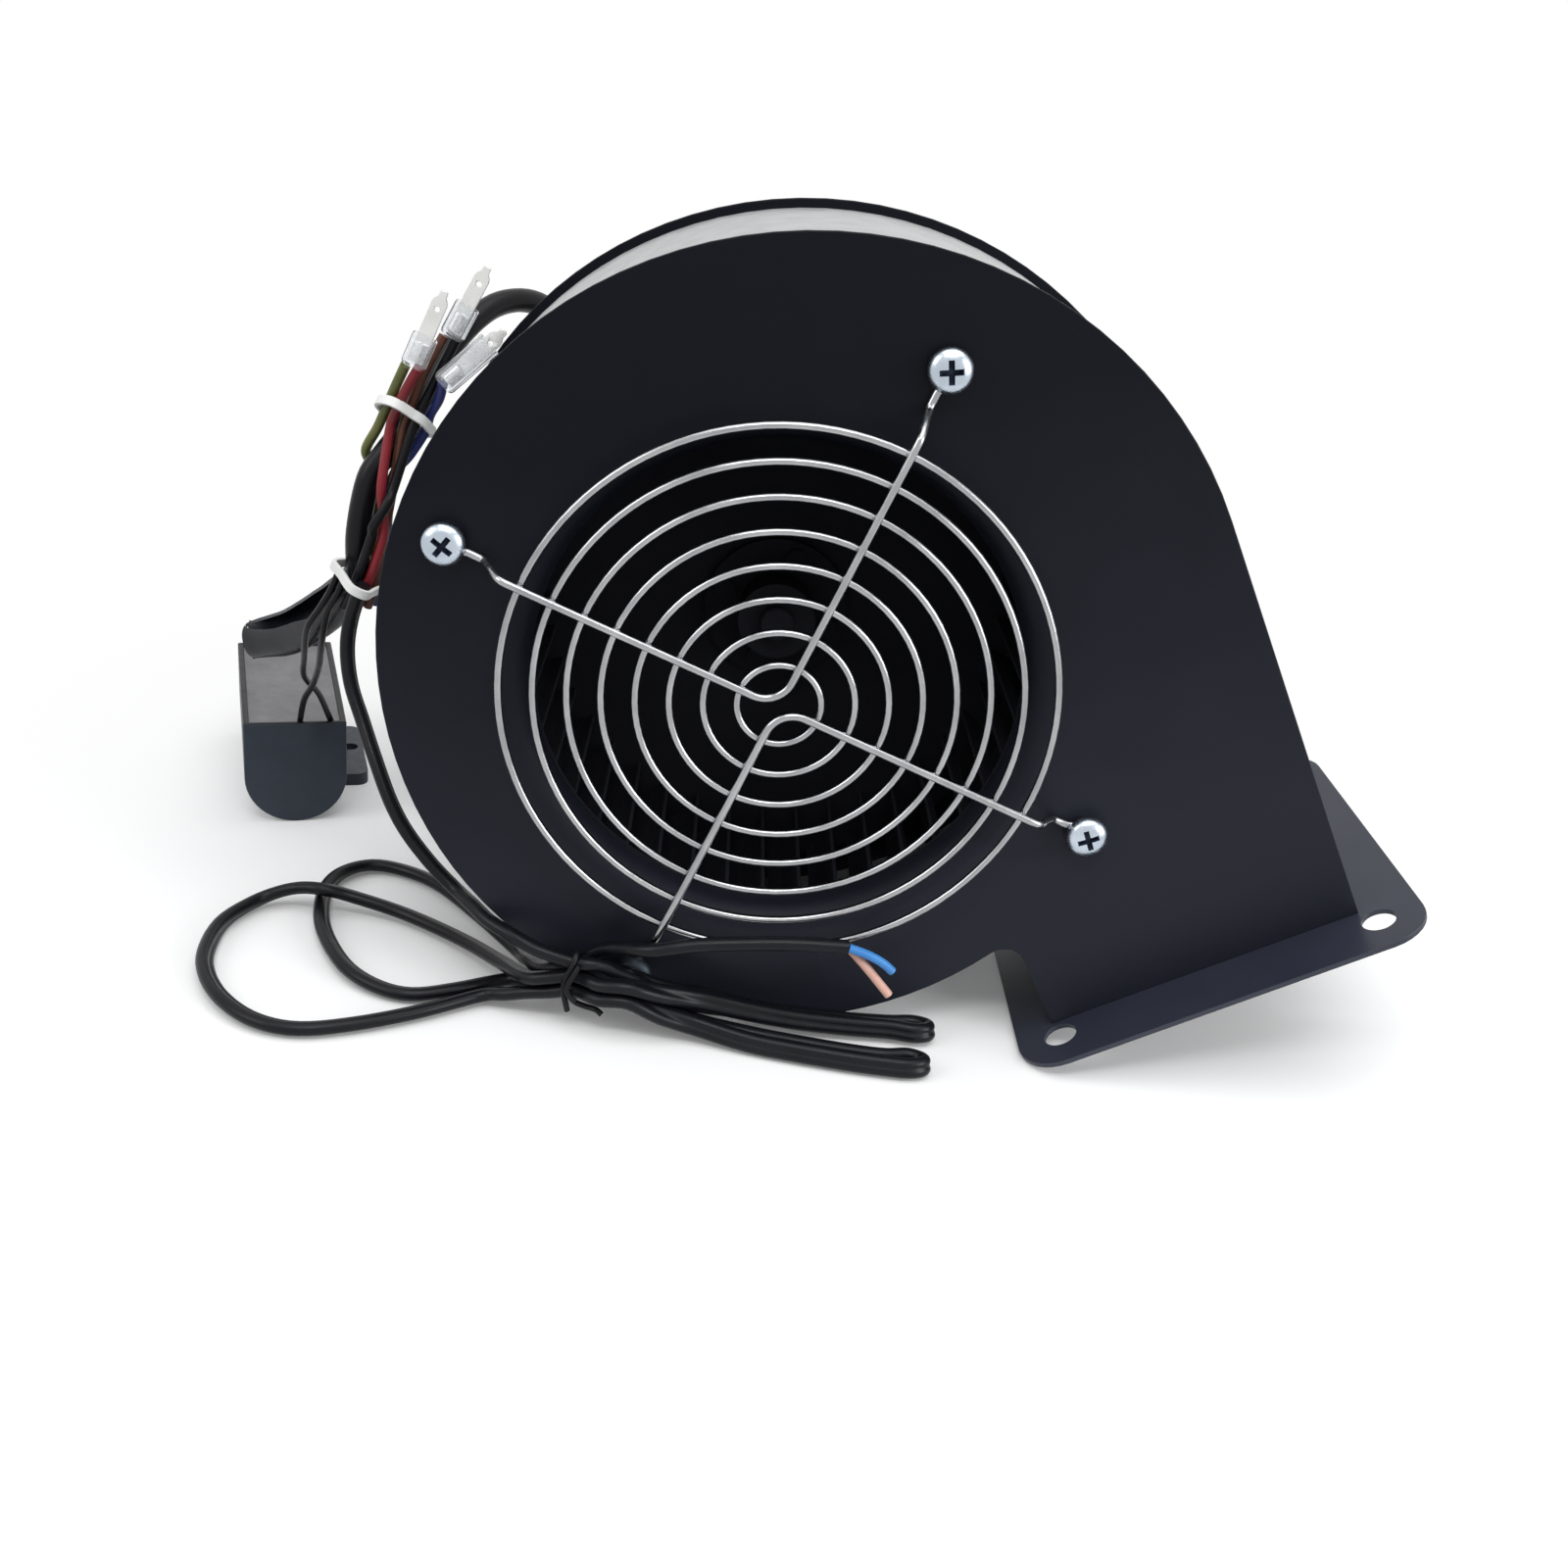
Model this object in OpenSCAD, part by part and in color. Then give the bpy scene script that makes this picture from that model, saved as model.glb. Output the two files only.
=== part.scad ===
// Small centrifugal fan: scroll casing with a wire inlet guard and a square outlet flange,
// a forward-curved impeller on the shaft of a rear motor, and its wiring with run capacitor.
// Millimetres, +Z up. The fan stands on the bottom of its scroll and the edge of its flange.

/* [Scroll casing] */
// Outline radius of the scroll from the tongue to the left side
scroll_r = 80.5; // [74:0.5:90]
// Growth of the outline radius at the left side
scroll_step_left = 7.5; // [4:0.5:10]
// Growth of the outline radius at the top
scroll_step_top = 3.5; // [2:0.5:6]
// Sideways place of the first arc's centre from the hub
scroll_x = -1.5; // [-4:0.5:2]
// Height of the first arc's centre above the hub
scroll_z = 1; // [-2:0.5:4]
// Depth of the casing from front face to rear face
casing_d = 64; // [60:1:76]
// Sheet thickness of the front and rear plates
plate_t = 1.2; // [0.8:0.1:2]
// Sheet thickness of the scroll band
band_t = 1; // [0.6:0.1:1.6]
// Overhang of the plates past the band
rim = 2; // [1:0.25:4]
// Left edge of the outlet neck from the hub
neck_left = 25; // [20:0.5:30]
// Fillet where the scroll meets the neck
tongue_r = 5; // [3:0.5:8]

/* [Inlet] */
// Radius where the bell mouth leaves the front face
inlet_edge_r = 58; // [56:0.5:60]
// Radius of the bell mouth's curve
inlet_curl_r = 6; // [4:0.5:7]
// Straight length behind the curve
inlet_throat = 1.8; // [0.5:0.1:2.2]

/* [Outlet flange] */
// Distance of the flange's inner face from the hub
flange_drop = 100; // [96:1:110]
// Lip of the flange past the casing at front and back
flange_lip = 15; // [13:0.5:18]
// Lip of the flange past the neck on the scroll's side
flange_lip_in = 8.7; // [8:0.1:11]
// Lip of the flange past the neck on the outer side
flange_lip_out = 12.8; // [11:0.1:16]
// Sheet thickness of the flange
flange_t = 1.2; // [1:0.1:2.5]
// Corner radius of the flange
flange_corner_r = 10; // [8:0.5:14]
// Distance of a hole from both edges of the flange
flange_hole_in = 10; // [8:0.5:10]
// Diameter of a flange hole
flange_hole_d = 7.5; // [4:0.5:8]

/* [Guard] */
// Radius of the smallest ring
guard_first_r = 8.6; // [7:0.2:10]
// Step from ring to ring
guard_pitch = 6.94; // [6:0.02:7.2]
// Number of rings
guard_rings_n = 8; // [6:1:8]
// Wire diameter of a ring
ring_wire = 1.6; // [1.2:0.1:2.2]
// Wire diameter of a spoke
spoke_wire = 1.8; // [1.4:0.1:2.4]
// Height of the rings over the front face
guard_lift = 7; // [5:0.5:9]
// Depth of a weld where wires cross
weld = 0.3; // [0.1:0.05:0.4]
// Radius of the circle of guard screws
guard_screw_circle_r = 74; // [71:0.5:75]
// Turn of the first guard screw
guard_screw_turn = 40.5; // [36:0.5:45]
// Straight run of a leg between its eye and its step
leg_run = 3.1; // [1:0.1:4]
// Length of a leg's step up to the rings
leg_step = 5; // [3:0.5:6]
// Bend where two legs of a spoke meet
spoke_bend_r = 6; // [4:0.5:8]

/* [Screws] */
// Shank diameter of a guard screw
guard_screw_d = 4; // [3:0.5:4]
// Head diameter of a guard screw
guard_head_d = 9; // [8:0.5:10]
// Head height of a guard screw
guard_head_h = 3; // [2:0.2:3.6]
// Length of a guard screw under the wire eye
guard_screw_len = 9; // [7:1:12]
// Shank diameter of a motor mounting screw
mount_screw_d = 4; // [3:0.5:5]
// Radius of the circle of motor mounting screws
mount_screw_circle_r = 26; // [23:0.5:28]
// Diameter of a motor through bolt
through_bolt_d = 3; // [2.5:0.5:3]
// Height of the heads of bolts and mounting screws
bolt_head_h = 2; // [1.5:0.1:2.5]
// Clearance of a screw in a plain hole
screw_clear = 0.2; // [0.1:0.05:0.4]
// Clearance of a screw in its own thread
thread_clear = 0.02; // [0.01:0.01:0.05]

/* [Impeller] */
// Outer radius of the impeller
impeller_r = 65; // [60:0.5:68]
// Radial depth of a blade
blade_depth = 12; // [9:0.5:13]
// Sweep of a blade's curve
blade_sweep = 72; // [50:1:85]
// Sheet thickness of a blade
blade_t = 0.8; // [0.5:0.1:1.2]
// Number of blades
blades_n = 40; // [30:1:44]
// Gap between the bell mouth and the front ring
impeller_gap = 0.7; // [0.4:0.1:2]
// Length of the blades
blade_len = 46; // [40:0.5:47]
// Sheet thickness of the front ring and back disc
disc_t = 1.2; // [0.8:0.1:1.5]
// Outer radius of the hub
hub_r = 9; // [7.5:0.5:11]
// Length of the hub in front of the disc
hub_front = 11; // [9:0.5:14]
// Radius of the hub's flange
hub_flange_r = 17; // [15:0.5:20]
// Thickness of the hub's flange
hub_flange_t = 1.6; // [1.2:0.1:3]
// Diameter of a hub rivet
rivet_d = 3; // [2.5:0.5:3]
// Diameter of the grub screw
grub_d = 4; // [3:0.5:5]

/* [Motor] */
// Outer radius of the motor
motor_r = 38; // [37:0.5:42]
// Wall of the motor's shell and covers
motor_wall = 1.5; // [1:0.1:2]
// Length of the front cover
front_cover_len = 10; // [9:0.5:12]
// Length of the shell
shell_len = 25; // [23:0.5:30]
// Length of the rear cover
rear_cover_len = 11; // [11:0.5:14]
// End wall of both covers
cover_wall = 3; // [2:0.5:4]
// Radius of the front cover's boss in the rear plate
boss_r = 15; // [14:0.5:17]
// Diameter of the shaft
shaft_d = 8; // [7:0.5:8]
// Outer diameter of a bearing
bearing_d = 22; // [21:0.5:24]
// Width of a bearing
bearing_w = 7; // [6:0.5:7]
// Radial wall of a bearing ring
bearing_wall = 1.9; // [1.5:0.1:2]
// Length of the stator and rotor stacks
stack_len = 20; // [16:1:20]
// Radial depth of the stator from its bore to the shell
stator_depth = 14; // [13:0.5:16]
// Air gap of the motor
air_gap = 0.5; // [0.3:0.1:0.8]
// Number of stator slots
slots_n = 12; // [8:2:16]
// Radius of a stator slot
slot_r = 3; // [2.4:0.1:3.4]
// Number of vents in the rear cover
vents_n = 12; // [8:1:16]
// Clearance of turned fits
fit_clear = 0.01; // [0.01:0.01:0.04]
// Running clearance of the balls
ball_clear = 0.05; // [0.02:0.01:0.08]

/* [Wiring] */
// Diameter of the motor's sleeved cable
sleeve_d = 5.5; // [5:0.25:6.5]
// Diameter of a lead
lead_d = 2.2; // [1.4:0.1:2.2]
// Diameter of a capacitor lead
fill_lead_d = 1.6; // [1.2:0.1:1.6]
// Width of the flat power cord
cord_w = 4.6; // [4:0.1:4.8]
// Thickness of the flat power cord
cord_t = 3; // [2.4:0.1:3.2]
// Diameter of a core of the power cord
core_d = 2; // [1.4:0.1:2]
// Width of the capacitor
capacitor_w = 26; // [24:0.5:27]
// Height of the capacitor
capacitor_h = 28.5; // [26:0.5:30]
// Length of the capacitor
capacitor_len = 60; // [56:1:64]
// Turn of the capacitor on the floor
capacitor_turn = 17; // [10:1:18]
// Wall of the capacitor's case
capacitor_wall = 1.5; // [1:0.1:2]
// Sink of the capacitor's fill below its rim
fill_sink = 0.8; // [0.4:0.1:1.5]
// Width of a spade blade
spade_w = 3.4; // [2.8:0.2:3.6]
// Sheet thickness of a spade
spade_t = 0.8; // [0.5:0.1:1]

/* [Hidden] */

$fn = 96;
wire_sides = 8;
arc_steps = 30;
cut = 1;

// Scroll: three tangent arcs whose centres step away from the tongue
arc_left = [scroll_x, scroll_z];
arc_top = [scroll_x + scroll_step_left, scroll_z];
arc_right = [scroll_x + scroll_step_left, scroll_z - scroll_step_top];
arc_top_r = scroll_r + scroll_step_left;
arc_right_r = arc_top_r + scroll_step_top;
neck_right = arc_right[0] + arc_right_r;
tongue_x = neck_left - tongue_r;
tongue_c = [tongue_x, scroll_z - sqrt(pow(scroll_r + tongue_r, 2) - pow(tongue_x - scroll_x, 2))];
tongue_turn = 360 + atan2(tongue_c[1] - scroll_z, tongue_c[0] - scroll_x);

// Resting tilt: the scroll and the flange's outer left edge touch the floor together
flange_left = neck_left - flange_lip_in;
flange_right = neck_right + flange_lip_out;
flange_w = flange_right - flange_left;
flange_d = casing_d + 2 * flange_lip;
edge = [flange_left - scroll_x, -(flange_drop + flange_t) - scroll_z];
rest_tilt = acos(scroll_r / norm(edge)) - atan2(edge[0], -edge[1]);
function reach(c, r, turn) = c[0] * cos(turn) + c[1] * sin(turn) + r;
right_reach = flange_right * cos(rest_tilt) + (flange_drop + flange_t) * sin(rest_tilt);
left_reach = reach(arc_top, arc_top_r, 180 - rest_tilt);
hub_z = reach(arc_left, scroll_r, 270 - rest_tilt);
hub_x = (left_reach - right_reach) / 2;

// Places along the fan's axis, from the front face of the casing
rear_face = casing_d;
band_front = plate_t;
band_rear = casing_d - plate_t;
inlet_end = inlet_curl_r + inlet_throat;
ring_front = inlet_end + impeller_gap;
blade_front = ring_front + disc_t;
blade_inner_r = impeller_r - blade_depth;
blade_bend = 2 - 2 * cos(blade_sweep);
blade_pull = blade_inner_r * sin(blade_sweep);
blade_curve_r = (sqrt(pow(blade_pull, 2) + blade_bend * (pow(impeller_r, 2) - pow(blade_inner_r, 2))) - blade_pull)
  / blade_bend;
disc_front = blade_front + blade_len;
disc_rear = disc_front + disc_t;
shell_front = rear_face + front_cover_len;
shell_rear = shell_front + shell_len;
cover_end = shell_rear + rear_cover_len;
motor_end = cover_end + bolt_head_h;
front_bearing = rear_face + 0.5;
rear_bearing = cover_end - cover_wall - bearing_w;
stack_front = shell_front + (shell_len - stack_len) / 2;
stack_rear = stack_front + stack_len;
face_y = -(motor_end - flange_lip) / 2;

// Radii inside the motor
shaft_r = shaft_d / 2;
bearing_r = bearing_d / 2;
bore_r = shaft_r + fit_clear;
ball_circle_r = (bore_r + bearing_r) / 2;
ball_r = (bearing_r - bore_r) / 2 - bearing_wall - ball_clear;
balls_n = 7;
shell_inner_r = motor_r - motor_wall;
stator_r = shell_inner_r - fit_clear;
stator_bore_r = stator_r - stator_depth;
rotor_r = stator_bore_r - air_gap;
slot_circle_r = stator_bore_r + slot_r + 2;
bolt_circle_r = shell_inner_r - through_bolt_d / 2 - 1.4;
pocket_wall = 2.5;
winding_inner_r = stator_bore_r + 1.5;
winding_outer_r = slot_circle_r + slot_r + 0.5;
winding_h = 4;
end_ring_h = 3.5;

// Places of screws round the hub
guard_turns = [for (k = [0:3]) guard_screw_turn + 90 * k];
mount_turns = [for (k = [0:3]) 45 + 90 * k];
bolt_turns = [for (k = [0:3]) 90 * k];
rivet_turns = [for (k = [0:3]) 45 + 90 * k];
rivet_circle_r = (hub_r + hub_flange_r) / 2;
rivet_head_h = 0.9;
rivet_head_r = rivet_d / 2 + 1;

// Guard: eyes lie on the face, legs step up to the rings
ring_y = -guard_lift;
spoke_y = ring_y - (ring_wire + spoke_wire) / 2 + weld;
eye_y = -spoke_wire / 2;
eye_r = guard_screw_d / 2 + spoke_wire / 2 + screw_clear;
leg_start_r = guard_screw_circle_r - eye_r - spoke_wire;
step_outer_r = leg_start_r - leg_run;
step_inner_r = step_outer_r - leg_step;

// Grommet in the rear cover, at the upper left of the standing fan
grommet_turn = 140 - rest_tilt;
grommet_neck_r = sleeve_d / 2 + 0.3;
grommet_lip_r = grommet_neck_r + 0.45;
grommet_flange_r = grommet_neck_r + 0.9;
grommet_y = cover_end - cover_wall - grommet_lip_r - 0.25;
grommet_out = 3;

// Routes of the wiring in the standing frame
sleeve_route = [[-62.6, 55, 106.7], [-71, 55, 115], [-79.5, 52.5, 125], [-87.5, 45, 134.5],
  [-95, 35, 140.5], [-102.5, 24.5, 140.5], [-109, 13.5, 134.5], [-113.5, 4, 126],
  [-117.8, -1.8, 116.5], [-121.4, -4, 111], [-124.9, -5.8, 105], [-127.1, -6.4, 93],
  [-127.4, -5, 84], [-127.2, -4.9, 80.2]];
boot_route = [[-126.9, -5.2, 79], [-129.4, -1.8, 72], [-135, 6, 65.5], [-142, 14, 60.5],
  [-148, 20.5, 56.8], [-153, 25.5, 53.5]];
black_route = [[-130.2, -7.6, 75.5], [-127, -10.3, 82], [-123.4, -10.6, 93], [-122.7, -11.9, 96],
  [-121, -12.2, 99], [-119.4, -11.5, 102], [-118.4, -9.6, 105.5], [-115.3, -8.4, 116.5],
  [-114, -7.6, 120.5], [-109.8, -6.2, 130], [-105.9, -5.8, 138.2]];
red_route = [[-127.4, -7.7, 75.5], [-124.3, -9.7, 82], [-121, -9.7, 93], [-121.1, -9.2, 99],
  [-121.2, -10, 105], [-120, -7.5, 116.5], [-118.9, -8, 120.5], [-116, -11, 126.5], [-112.8, -12.1, 132.4]];
brown_route = [[-125, -6.5, 75.5], [-122.9, -7.4, 82], [-121.2, -7.1, 93], [-119.2, -6.6, 105],
  [-118.3, -6.8, 111], [-117.4, -6.7, 116.5], [-116.3, -6.8, 120.5], [-112.8, -7.2, 130], [-108.8, -6.2, 138.2]];
earth_route = [[-124.3, -1.7, 75.5], [-124.2, -2.2, 82], [-124.2, -2.2, 93], [-124.2, -1.4, 104],
  [-125.8, -1, 108], [-126.2, -2.2, 111], [-123.2, -4.7, 116.5], [-121.4, -5.8, 120.5],
  [-118.6, -9.4, 126.5], [-115.8, -11.9, 132.4]];
blue_route = [[-123.9, -4.2, 75.5], [-122.6, -4.9, 82], [-121.2, -4.2, 93], [-120.2, -3.6, 105],
  [-116.2, -3.4, 111], [-113, -3.7, 116.5], [-111.8, -4.6, 120.5], [-109.4, -7.6, 124.8], [-108.2, -10, 128.8]];
fill_left_route = [[-129.3, -9.6, 83.5], [-131, -9.8, 79], [-133.6, -8.6, 74], [-135.5, -6, 66.5],
  [-138.5, 3, 56], [-142.5, 13, 47], [-147.5, 24, 38], [-151, 33, 28]];
fill_right_route = [[-131.2, -7.8, 83.5], [-133, -8, 79], [-135.8, -6.6, 74], [-139.6, -3.6, 67.5],
  [-142.5, 5, 57], [-145, 15, 48], [-144.2, 26, 39], [-143.5, 35, 28]];
cord_route = [[-124.6, -13.6, 83], [-127, -13.4, 75.5], [-127.8, -14.5, 68], [-126.4, -17.2, 60.5],
  [-123, -21, 53.4], [-119.1, -26, 46.4], [-114.6, -31, 38.6], [-110.2, -34, 32.6], [-104, -37, 26.6],
  [-98, -40, 22.4], [-93.3, -45.6, 21.8], [-89, -50.2, 20.9], [-83.4, -54, 20], [-77.4, -56.2, 18.2],
  [-70, -56.6, 16.3], [-66, -57.2, 16.3], [-63, -56.6, 15.6], [-57, -56.4, 13.6], [-51.5, -56.1, 11.2],
  [-46, -54.4, 9], [-42, -52.9, 7.7], [-30, -52, 4.9], [-19.5, -51.2, 3.4], [-8, -50.4, 2.6],
  [2, -49.8, 2.4], [6.8, -49.2, 2.5], [9.8, -50, 2.7], [11, -51.7, 3], [9.8, -53.4, 3.3],
  [6.8, -54, 3.4], [2, -53.4, 3.5], [-8, -53.7, 3.7], [-19.5, -54.4, 4.6], [-30, -55.2, 6.3],
  [-42, -56.2, 8.9], [-50, -59.6, 11.8], [-57, -61.4, 14], [-63, -60.4, 13.1], [-67, -57.6, 12.8],
  [-70, -56.6, 12.7], [-75, -56.4, 11.6], [-80, -54.2, 9.9], [-86.5, -43.6, 6.4], [-98, -30, 3.6],
  [-113, -19.5, 3], [-126, -16.8, 5], [-133.5, -17.6, 6.9], [-141, -15.6, 5.2], [-148.5, -17.6, 2.6],
  [-153.6, -28.8, 2.5], [-153.6, -42.2, 2.5], [-150.4, -52.4, 2.5], [-144.2, -61.5, 2.4],
  [-135.6, -68, 2.2], [-126, -69.6, 2], [-114.4, -65.8, 2], [-102, -59.2, 2.1], [-90.2, -51.6, 2.5],
  [-84.5, -52.8, 4.2], [-79.5, -54.2, 6], [-73.5, -56.1, 8], [-70, -56.6, 9.2], [-67, -58, 9.4],
  [-63, -61, 9.8], [-57, -61.5, 10.4], [-50, -60.8, 7.2], [-42, -60, 4.6], [-30, -62.5, 3],
  [-19.5, -64.6, 2.9], [-8, -66.4, 2.9], [0, -67.2, 2.9], [4.8, -67.4, 2.9], [7.6, -66.6, 2.8],
  [8.8, -65, 2.6], [7.6, -63.4, 2.4], [4.8, -62.7, 2.4], [0, -63.5, 2.4], [-8, -62.9, 2.4],
  [-19.5, -61.1, 2.4], [-30, -59, 2.4], [-42, -56.6, 3.1], [-50, -56.6, 6.2], [-57, -56.5, 9.9],
  [-62.2, -56, 9.1], [-66.5, -52.7, 8.3], [-70, -52, 9], [-74, -51.2, 7.4], [-77.5, -48.4, 5.2],
  [-80.5, -46, 3.9], [-86, -43.6, 2.1], [-96.2, -49.3, 2.1], [-105.4, -52.7, 2], [-113.4, -50.8, 2.1],
  [-121.3, -44.7, 2.4], [-128.2, -33.7, 2.5], [-132.4, -22.8, 2.5], [-134.4, -9.7, 2.5],
  [-132.3, -0.4, 2.5], [-126.3, 5.2, 2.2], [-117.4, 3.9, 2], [-107.6, -2.7, 2.2], [-95.7, -16.6, 2.4],
  [-84, -33, 3.4], [-80.5, -42.6, 7.2], [-77.5, -49, 9.4], [-74, -51.8, 11.4], [-70, -52, 12.6],
  [-67, -52.4, 15], [-64.5, -52.8, 17.2], [-60, -55.4, 20], [-53, -60.4, 23], [-43.5, -60.8, 25.4],
  [-33, -60.6, 26.7], [-22.4, -60.4, 27.6], [-10.8, -60.4, 27.9]];
// Direction of the cord's wide side: flat to the left of the tie, on edge in the loops at the right
cord_flat = [0.06, 0.9, -0.42];
cord_edge = [-0.09, 0.42, 0.9];
function on_edge(p) = p.z > 17.5 ? 0 : min(max((p.x + 62) / 18, 0), 1);
cord_face = [for (p = cord_route) cord_flat * cos(90 * on_edge(p)) + cord_edge * sin(90 * on_edge(p))];
blue_core_route = [[-10.8, -61.5, 28.3], [-6.4, -61.2, 26.8], [-3, -61, 25], [-0.6, -60.8, 23]];
brown_core_route = [[-10.8, -59.4, 27.4], [-6.6, -60, 23.4], [-3.4, -60.4, 20], [-0.6, -60.8, 17]];
cord_tie_x = -70;

// Capacitor on the floor at the left, its end face to the front
capacitor_at = [-151.5, 30];
ear_out = 7.5;
ear_len = 34;
ear_t = 3.5;
ear_hole_d = 4.5;
ear_hole_in = 20;
ear_end = 5;
fill_depth = 6;

// Points on an arc, from one turn to another
function arc(c, r, from, to, steps) =
  [for (i = [0:steps]) c + r * [cos(from + (to - from) * i / steps), sin(from + (to - from) * i / steps)]];
// Outline of the scroll and its neck, moved outwards by grow and ended at drop below the hub
function outline(grow, drop) = concat(
  [[neck_right + grow, -drop]],
  arc(arc_right, arc_right_r + grow, 0, 90, arc_steps),
  arc(arc_top, arc_top_r + grow, 90, 180, arc_steps),
  arc(arc_left, scroll_r + grow, 180, tongue_turn, arc_steps),
  arc(tongue_c, tongue_r - grow, tongue_turn - 180, 0, 10),
  [[neck_left - grow, -drop]]);
// Smooth curve through hand-set points
function between(a, b, c, d, t) =
  0.5 * (2 * b + (c - a) * t + (2 * a - 5 * b + 4 * c - d) * t * t + (3 * b - a - 3 * c + d) * t * t * t);
function smooth(p, steps) = concat(
  [for (i = [0:len(p) - 2], s = [0:steps - 1])
    between(p[max(i - 1, 0)], p[i], p[i + 1], p[min(i + 2, len(p) - 1)], s / steps)],
  [p[len(p) - 1]]);
function unit(v) = v / norm(v);
function heading(p, i) = unit(p[min(i + 1, len(p) - 1)] - p[max(i - 1, 0)]);
// One ring of a tube, with its flat side square to the up direction
function tube_ring(c, along, up, w, h, sides) =
  let (side = unit(cross(along, up)), top = cross(side, along))
  [for (k = [0:sides - 1])
    c + side * w / 2 * cos(360 * (k + 0.5) / sides) + top * h / 2 * sin(360 * (k + 0.5) / sides)];

module tube(p, w, h, sides, up) {
  n = len(p);
  rings = [for (i = [0:n - 1])
    each tube_ring(p[i], heading(p, i), is_list(up[0]) ? up[i] : up, w, h, sides)];
  sides_a = [for (i = [0:n - 2], k = [0:sides - 1])
    [i * sides + k, i * sides + (k + 1) % sides, (i + 1) * sides + k]];
  sides_b = [for (i = [0:n - 2], k = [0:sides - 1])
    [i * sides + (k + 1) % sides, (i + 1) * sides + (k + 1) % sides, (i + 1) * sides + k]];
  first = [[for (k = [sides - 1:-1:0]) k]];
  last = [[for (k = [0:sides - 1]) (n - 1) * sides + k]];
  polyhedron(points = rings, faces = concat(sides_a, sides_b, first, last), convexity = 10);
}
module wire(p, d, steps, up = [1, 0, 0]) {
  tube(smooth(p, steps), d, d, wire_sides, up);
}

// From the fan's own frame, with the outlet straight down, to the standing frame
module standing() {
  translate([hub_x, face_y, hub_z]) rotate([0, -rest_tilt, 0]) children();
}
// A flat shape in the plane of the front face, made solid between two depths
module slab(from, to) {
  translate([0, to, 0]) rotate([90, 0, 0]) linear_extrude(to - from) children();
}
// A profile of radius and depth, turned about the fan's axis
module turned() {
  rotate([-90, 0, 0]) rotate_extrude() children();
}
module rod(r, from, to) {
  translate([0, from, 0]) rotate([-90, 0, 0]) cylinder(r = r, h = to - from);
}
module at_turn(r, turn) {
  translate([r * cos(turn), 0, r * sin(turn)]) children();
}
module ring_of_rods(circle_r, turns, r, from, to) {
  for (turn = turns) at_turn(circle_r, turn) rod(r, from, to);
}

// Casing
module front_plate() {
  edge_r = inlet_edge_r;
  curl_c = [edge_r, inlet_curl_r];
  color("#16181b") standing() {
    difference() {
      slab(0, plate_t) difference() {
        polygon(outline(0, flange_drop));
        circle(r = edge_r);
      }
      ring_of_rods(guard_screw_circle_r, guard_turns, guard_screw_d / 2 + thread_clear, -cut, plate_t + cut);
    }
    turned() polygon(concat(
      arc(curl_c, inlet_curl_r, 270, 180, 10),
      [[edge_r - inlet_curl_r, inlet_end], [edge_r - inlet_curl_r + plate_t, inlet_end]],
      arc(curl_c, inlet_curl_r - plate_t, 180, 270, 10)));
  }
}
module scroll_band() {
  color("#c9ccce") standing()
    slab(band_front, band_rear) difference() {
      polygon(outline(-rim, flange_drop));
      polygon(outline(-rim - band_t, flange_drop + cut));
    }
}
module rear_plate() {
  color("#16181b") standing() difference() {
    slab(band_rear, rear_face) polygon(outline(0, flange_drop));
    rod(boss_r + screw_clear, band_rear - cut, rear_face + cut);
    ring_of_rods(mount_screw_circle_r, mount_turns, mount_screw_d / 2 + screw_clear,
      band_rear - cut, rear_face + cut);
  }
}
module outlet_flange() {
  middle = [flange_left + flange_w / 2, casing_d / 2];
  straight = [flange_w / 2 - flange_corner_r, flange_d / 2 - flange_corner_r];
  hole = [flange_w / 2 - flange_hole_in, flange_d / 2 - flange_hole_in];
  inside_left = neck_left + rim + band_t;
  inside_right = neck_right - rim - band_t;
  color("#202327") standing() translate([0, 0, -flange_drop - flange_t]) difference() {
    linear_extrude(flange_t) difference() {
      translate(middle) polygon(concat(
        arc([straight[0], straight[1]], flange_corner_r, 0, 90, 8),
        arc([-straight[0], straight[1]], flange_corner_r, 90, 180, 8),
        arc([-straight[0], -straight[1]], flange_corner_r, 180, 270, 8),
        arc([straight[0], -straight[1]], flange_corner_r, 270, 360, 8)));
      translate([inside_left, band_front]) square([inside_right - inside_left, band_rear - band_front]);
    }
    for (x = [-hole[0], hole[0]], y = [-hole[1], hole[1]])
      translate([middle[0] + x, middle[1] + y, -cut]) cylinder(d = flange_hole_d, h = flange_t + 2 * cut);
  }
}

// Guard
module guard_rings() {
  color("#c3c7ca") standing() for (k = [0:guard_rings_n - 1])
    turned() translate([guard_first_r + guard_pitch * k, ring_y]) circle(d = ring_wire, $fn = 24);
}
// Half of a spoke, from the middle of its bend out to the eye round its screw
function leg(turn, bend_side) =
  let (out = [cos(turn), sin(turn)], across = bend_side * [-sin(turn), cos(turn)],
    bend_c = spoke_bend_r * (out + across), screw = guard_screw_circle_r * out,
    flat = concat(
      [for (a = [45, 22.5, 0]) bend_c - spoke_bend_r * (across * cos(a) + out * sin(a))],
      [step_inner_r * out]),
    eye = [for (a = [0:30:300]) screw - eye_r * (out * cos(a) + across * sin(a))])
  concat([for (q = flat) [q[0], spoke_y, q[1]]],
    [for (r = [step_outer_r, leg_start_r])
      [r * out[0], eye_y, r * out[1]]],
    [for (q = eye) [q[0], eye_y, q[1]]]);
function reversed(p) = [for (i = [len(p) - 1:-1:0]) p[i]];
module spoke(turn) {
  first = leg(turn, 1);
  second = leg(turn + 90, -1);
  tube(concat(reversed(first), [for (i = [1:len(second) - 1]) second[i]]),
    spoke_wire, spoke_wire, wire_sides, [0, 1, 0.001]);
}
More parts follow.
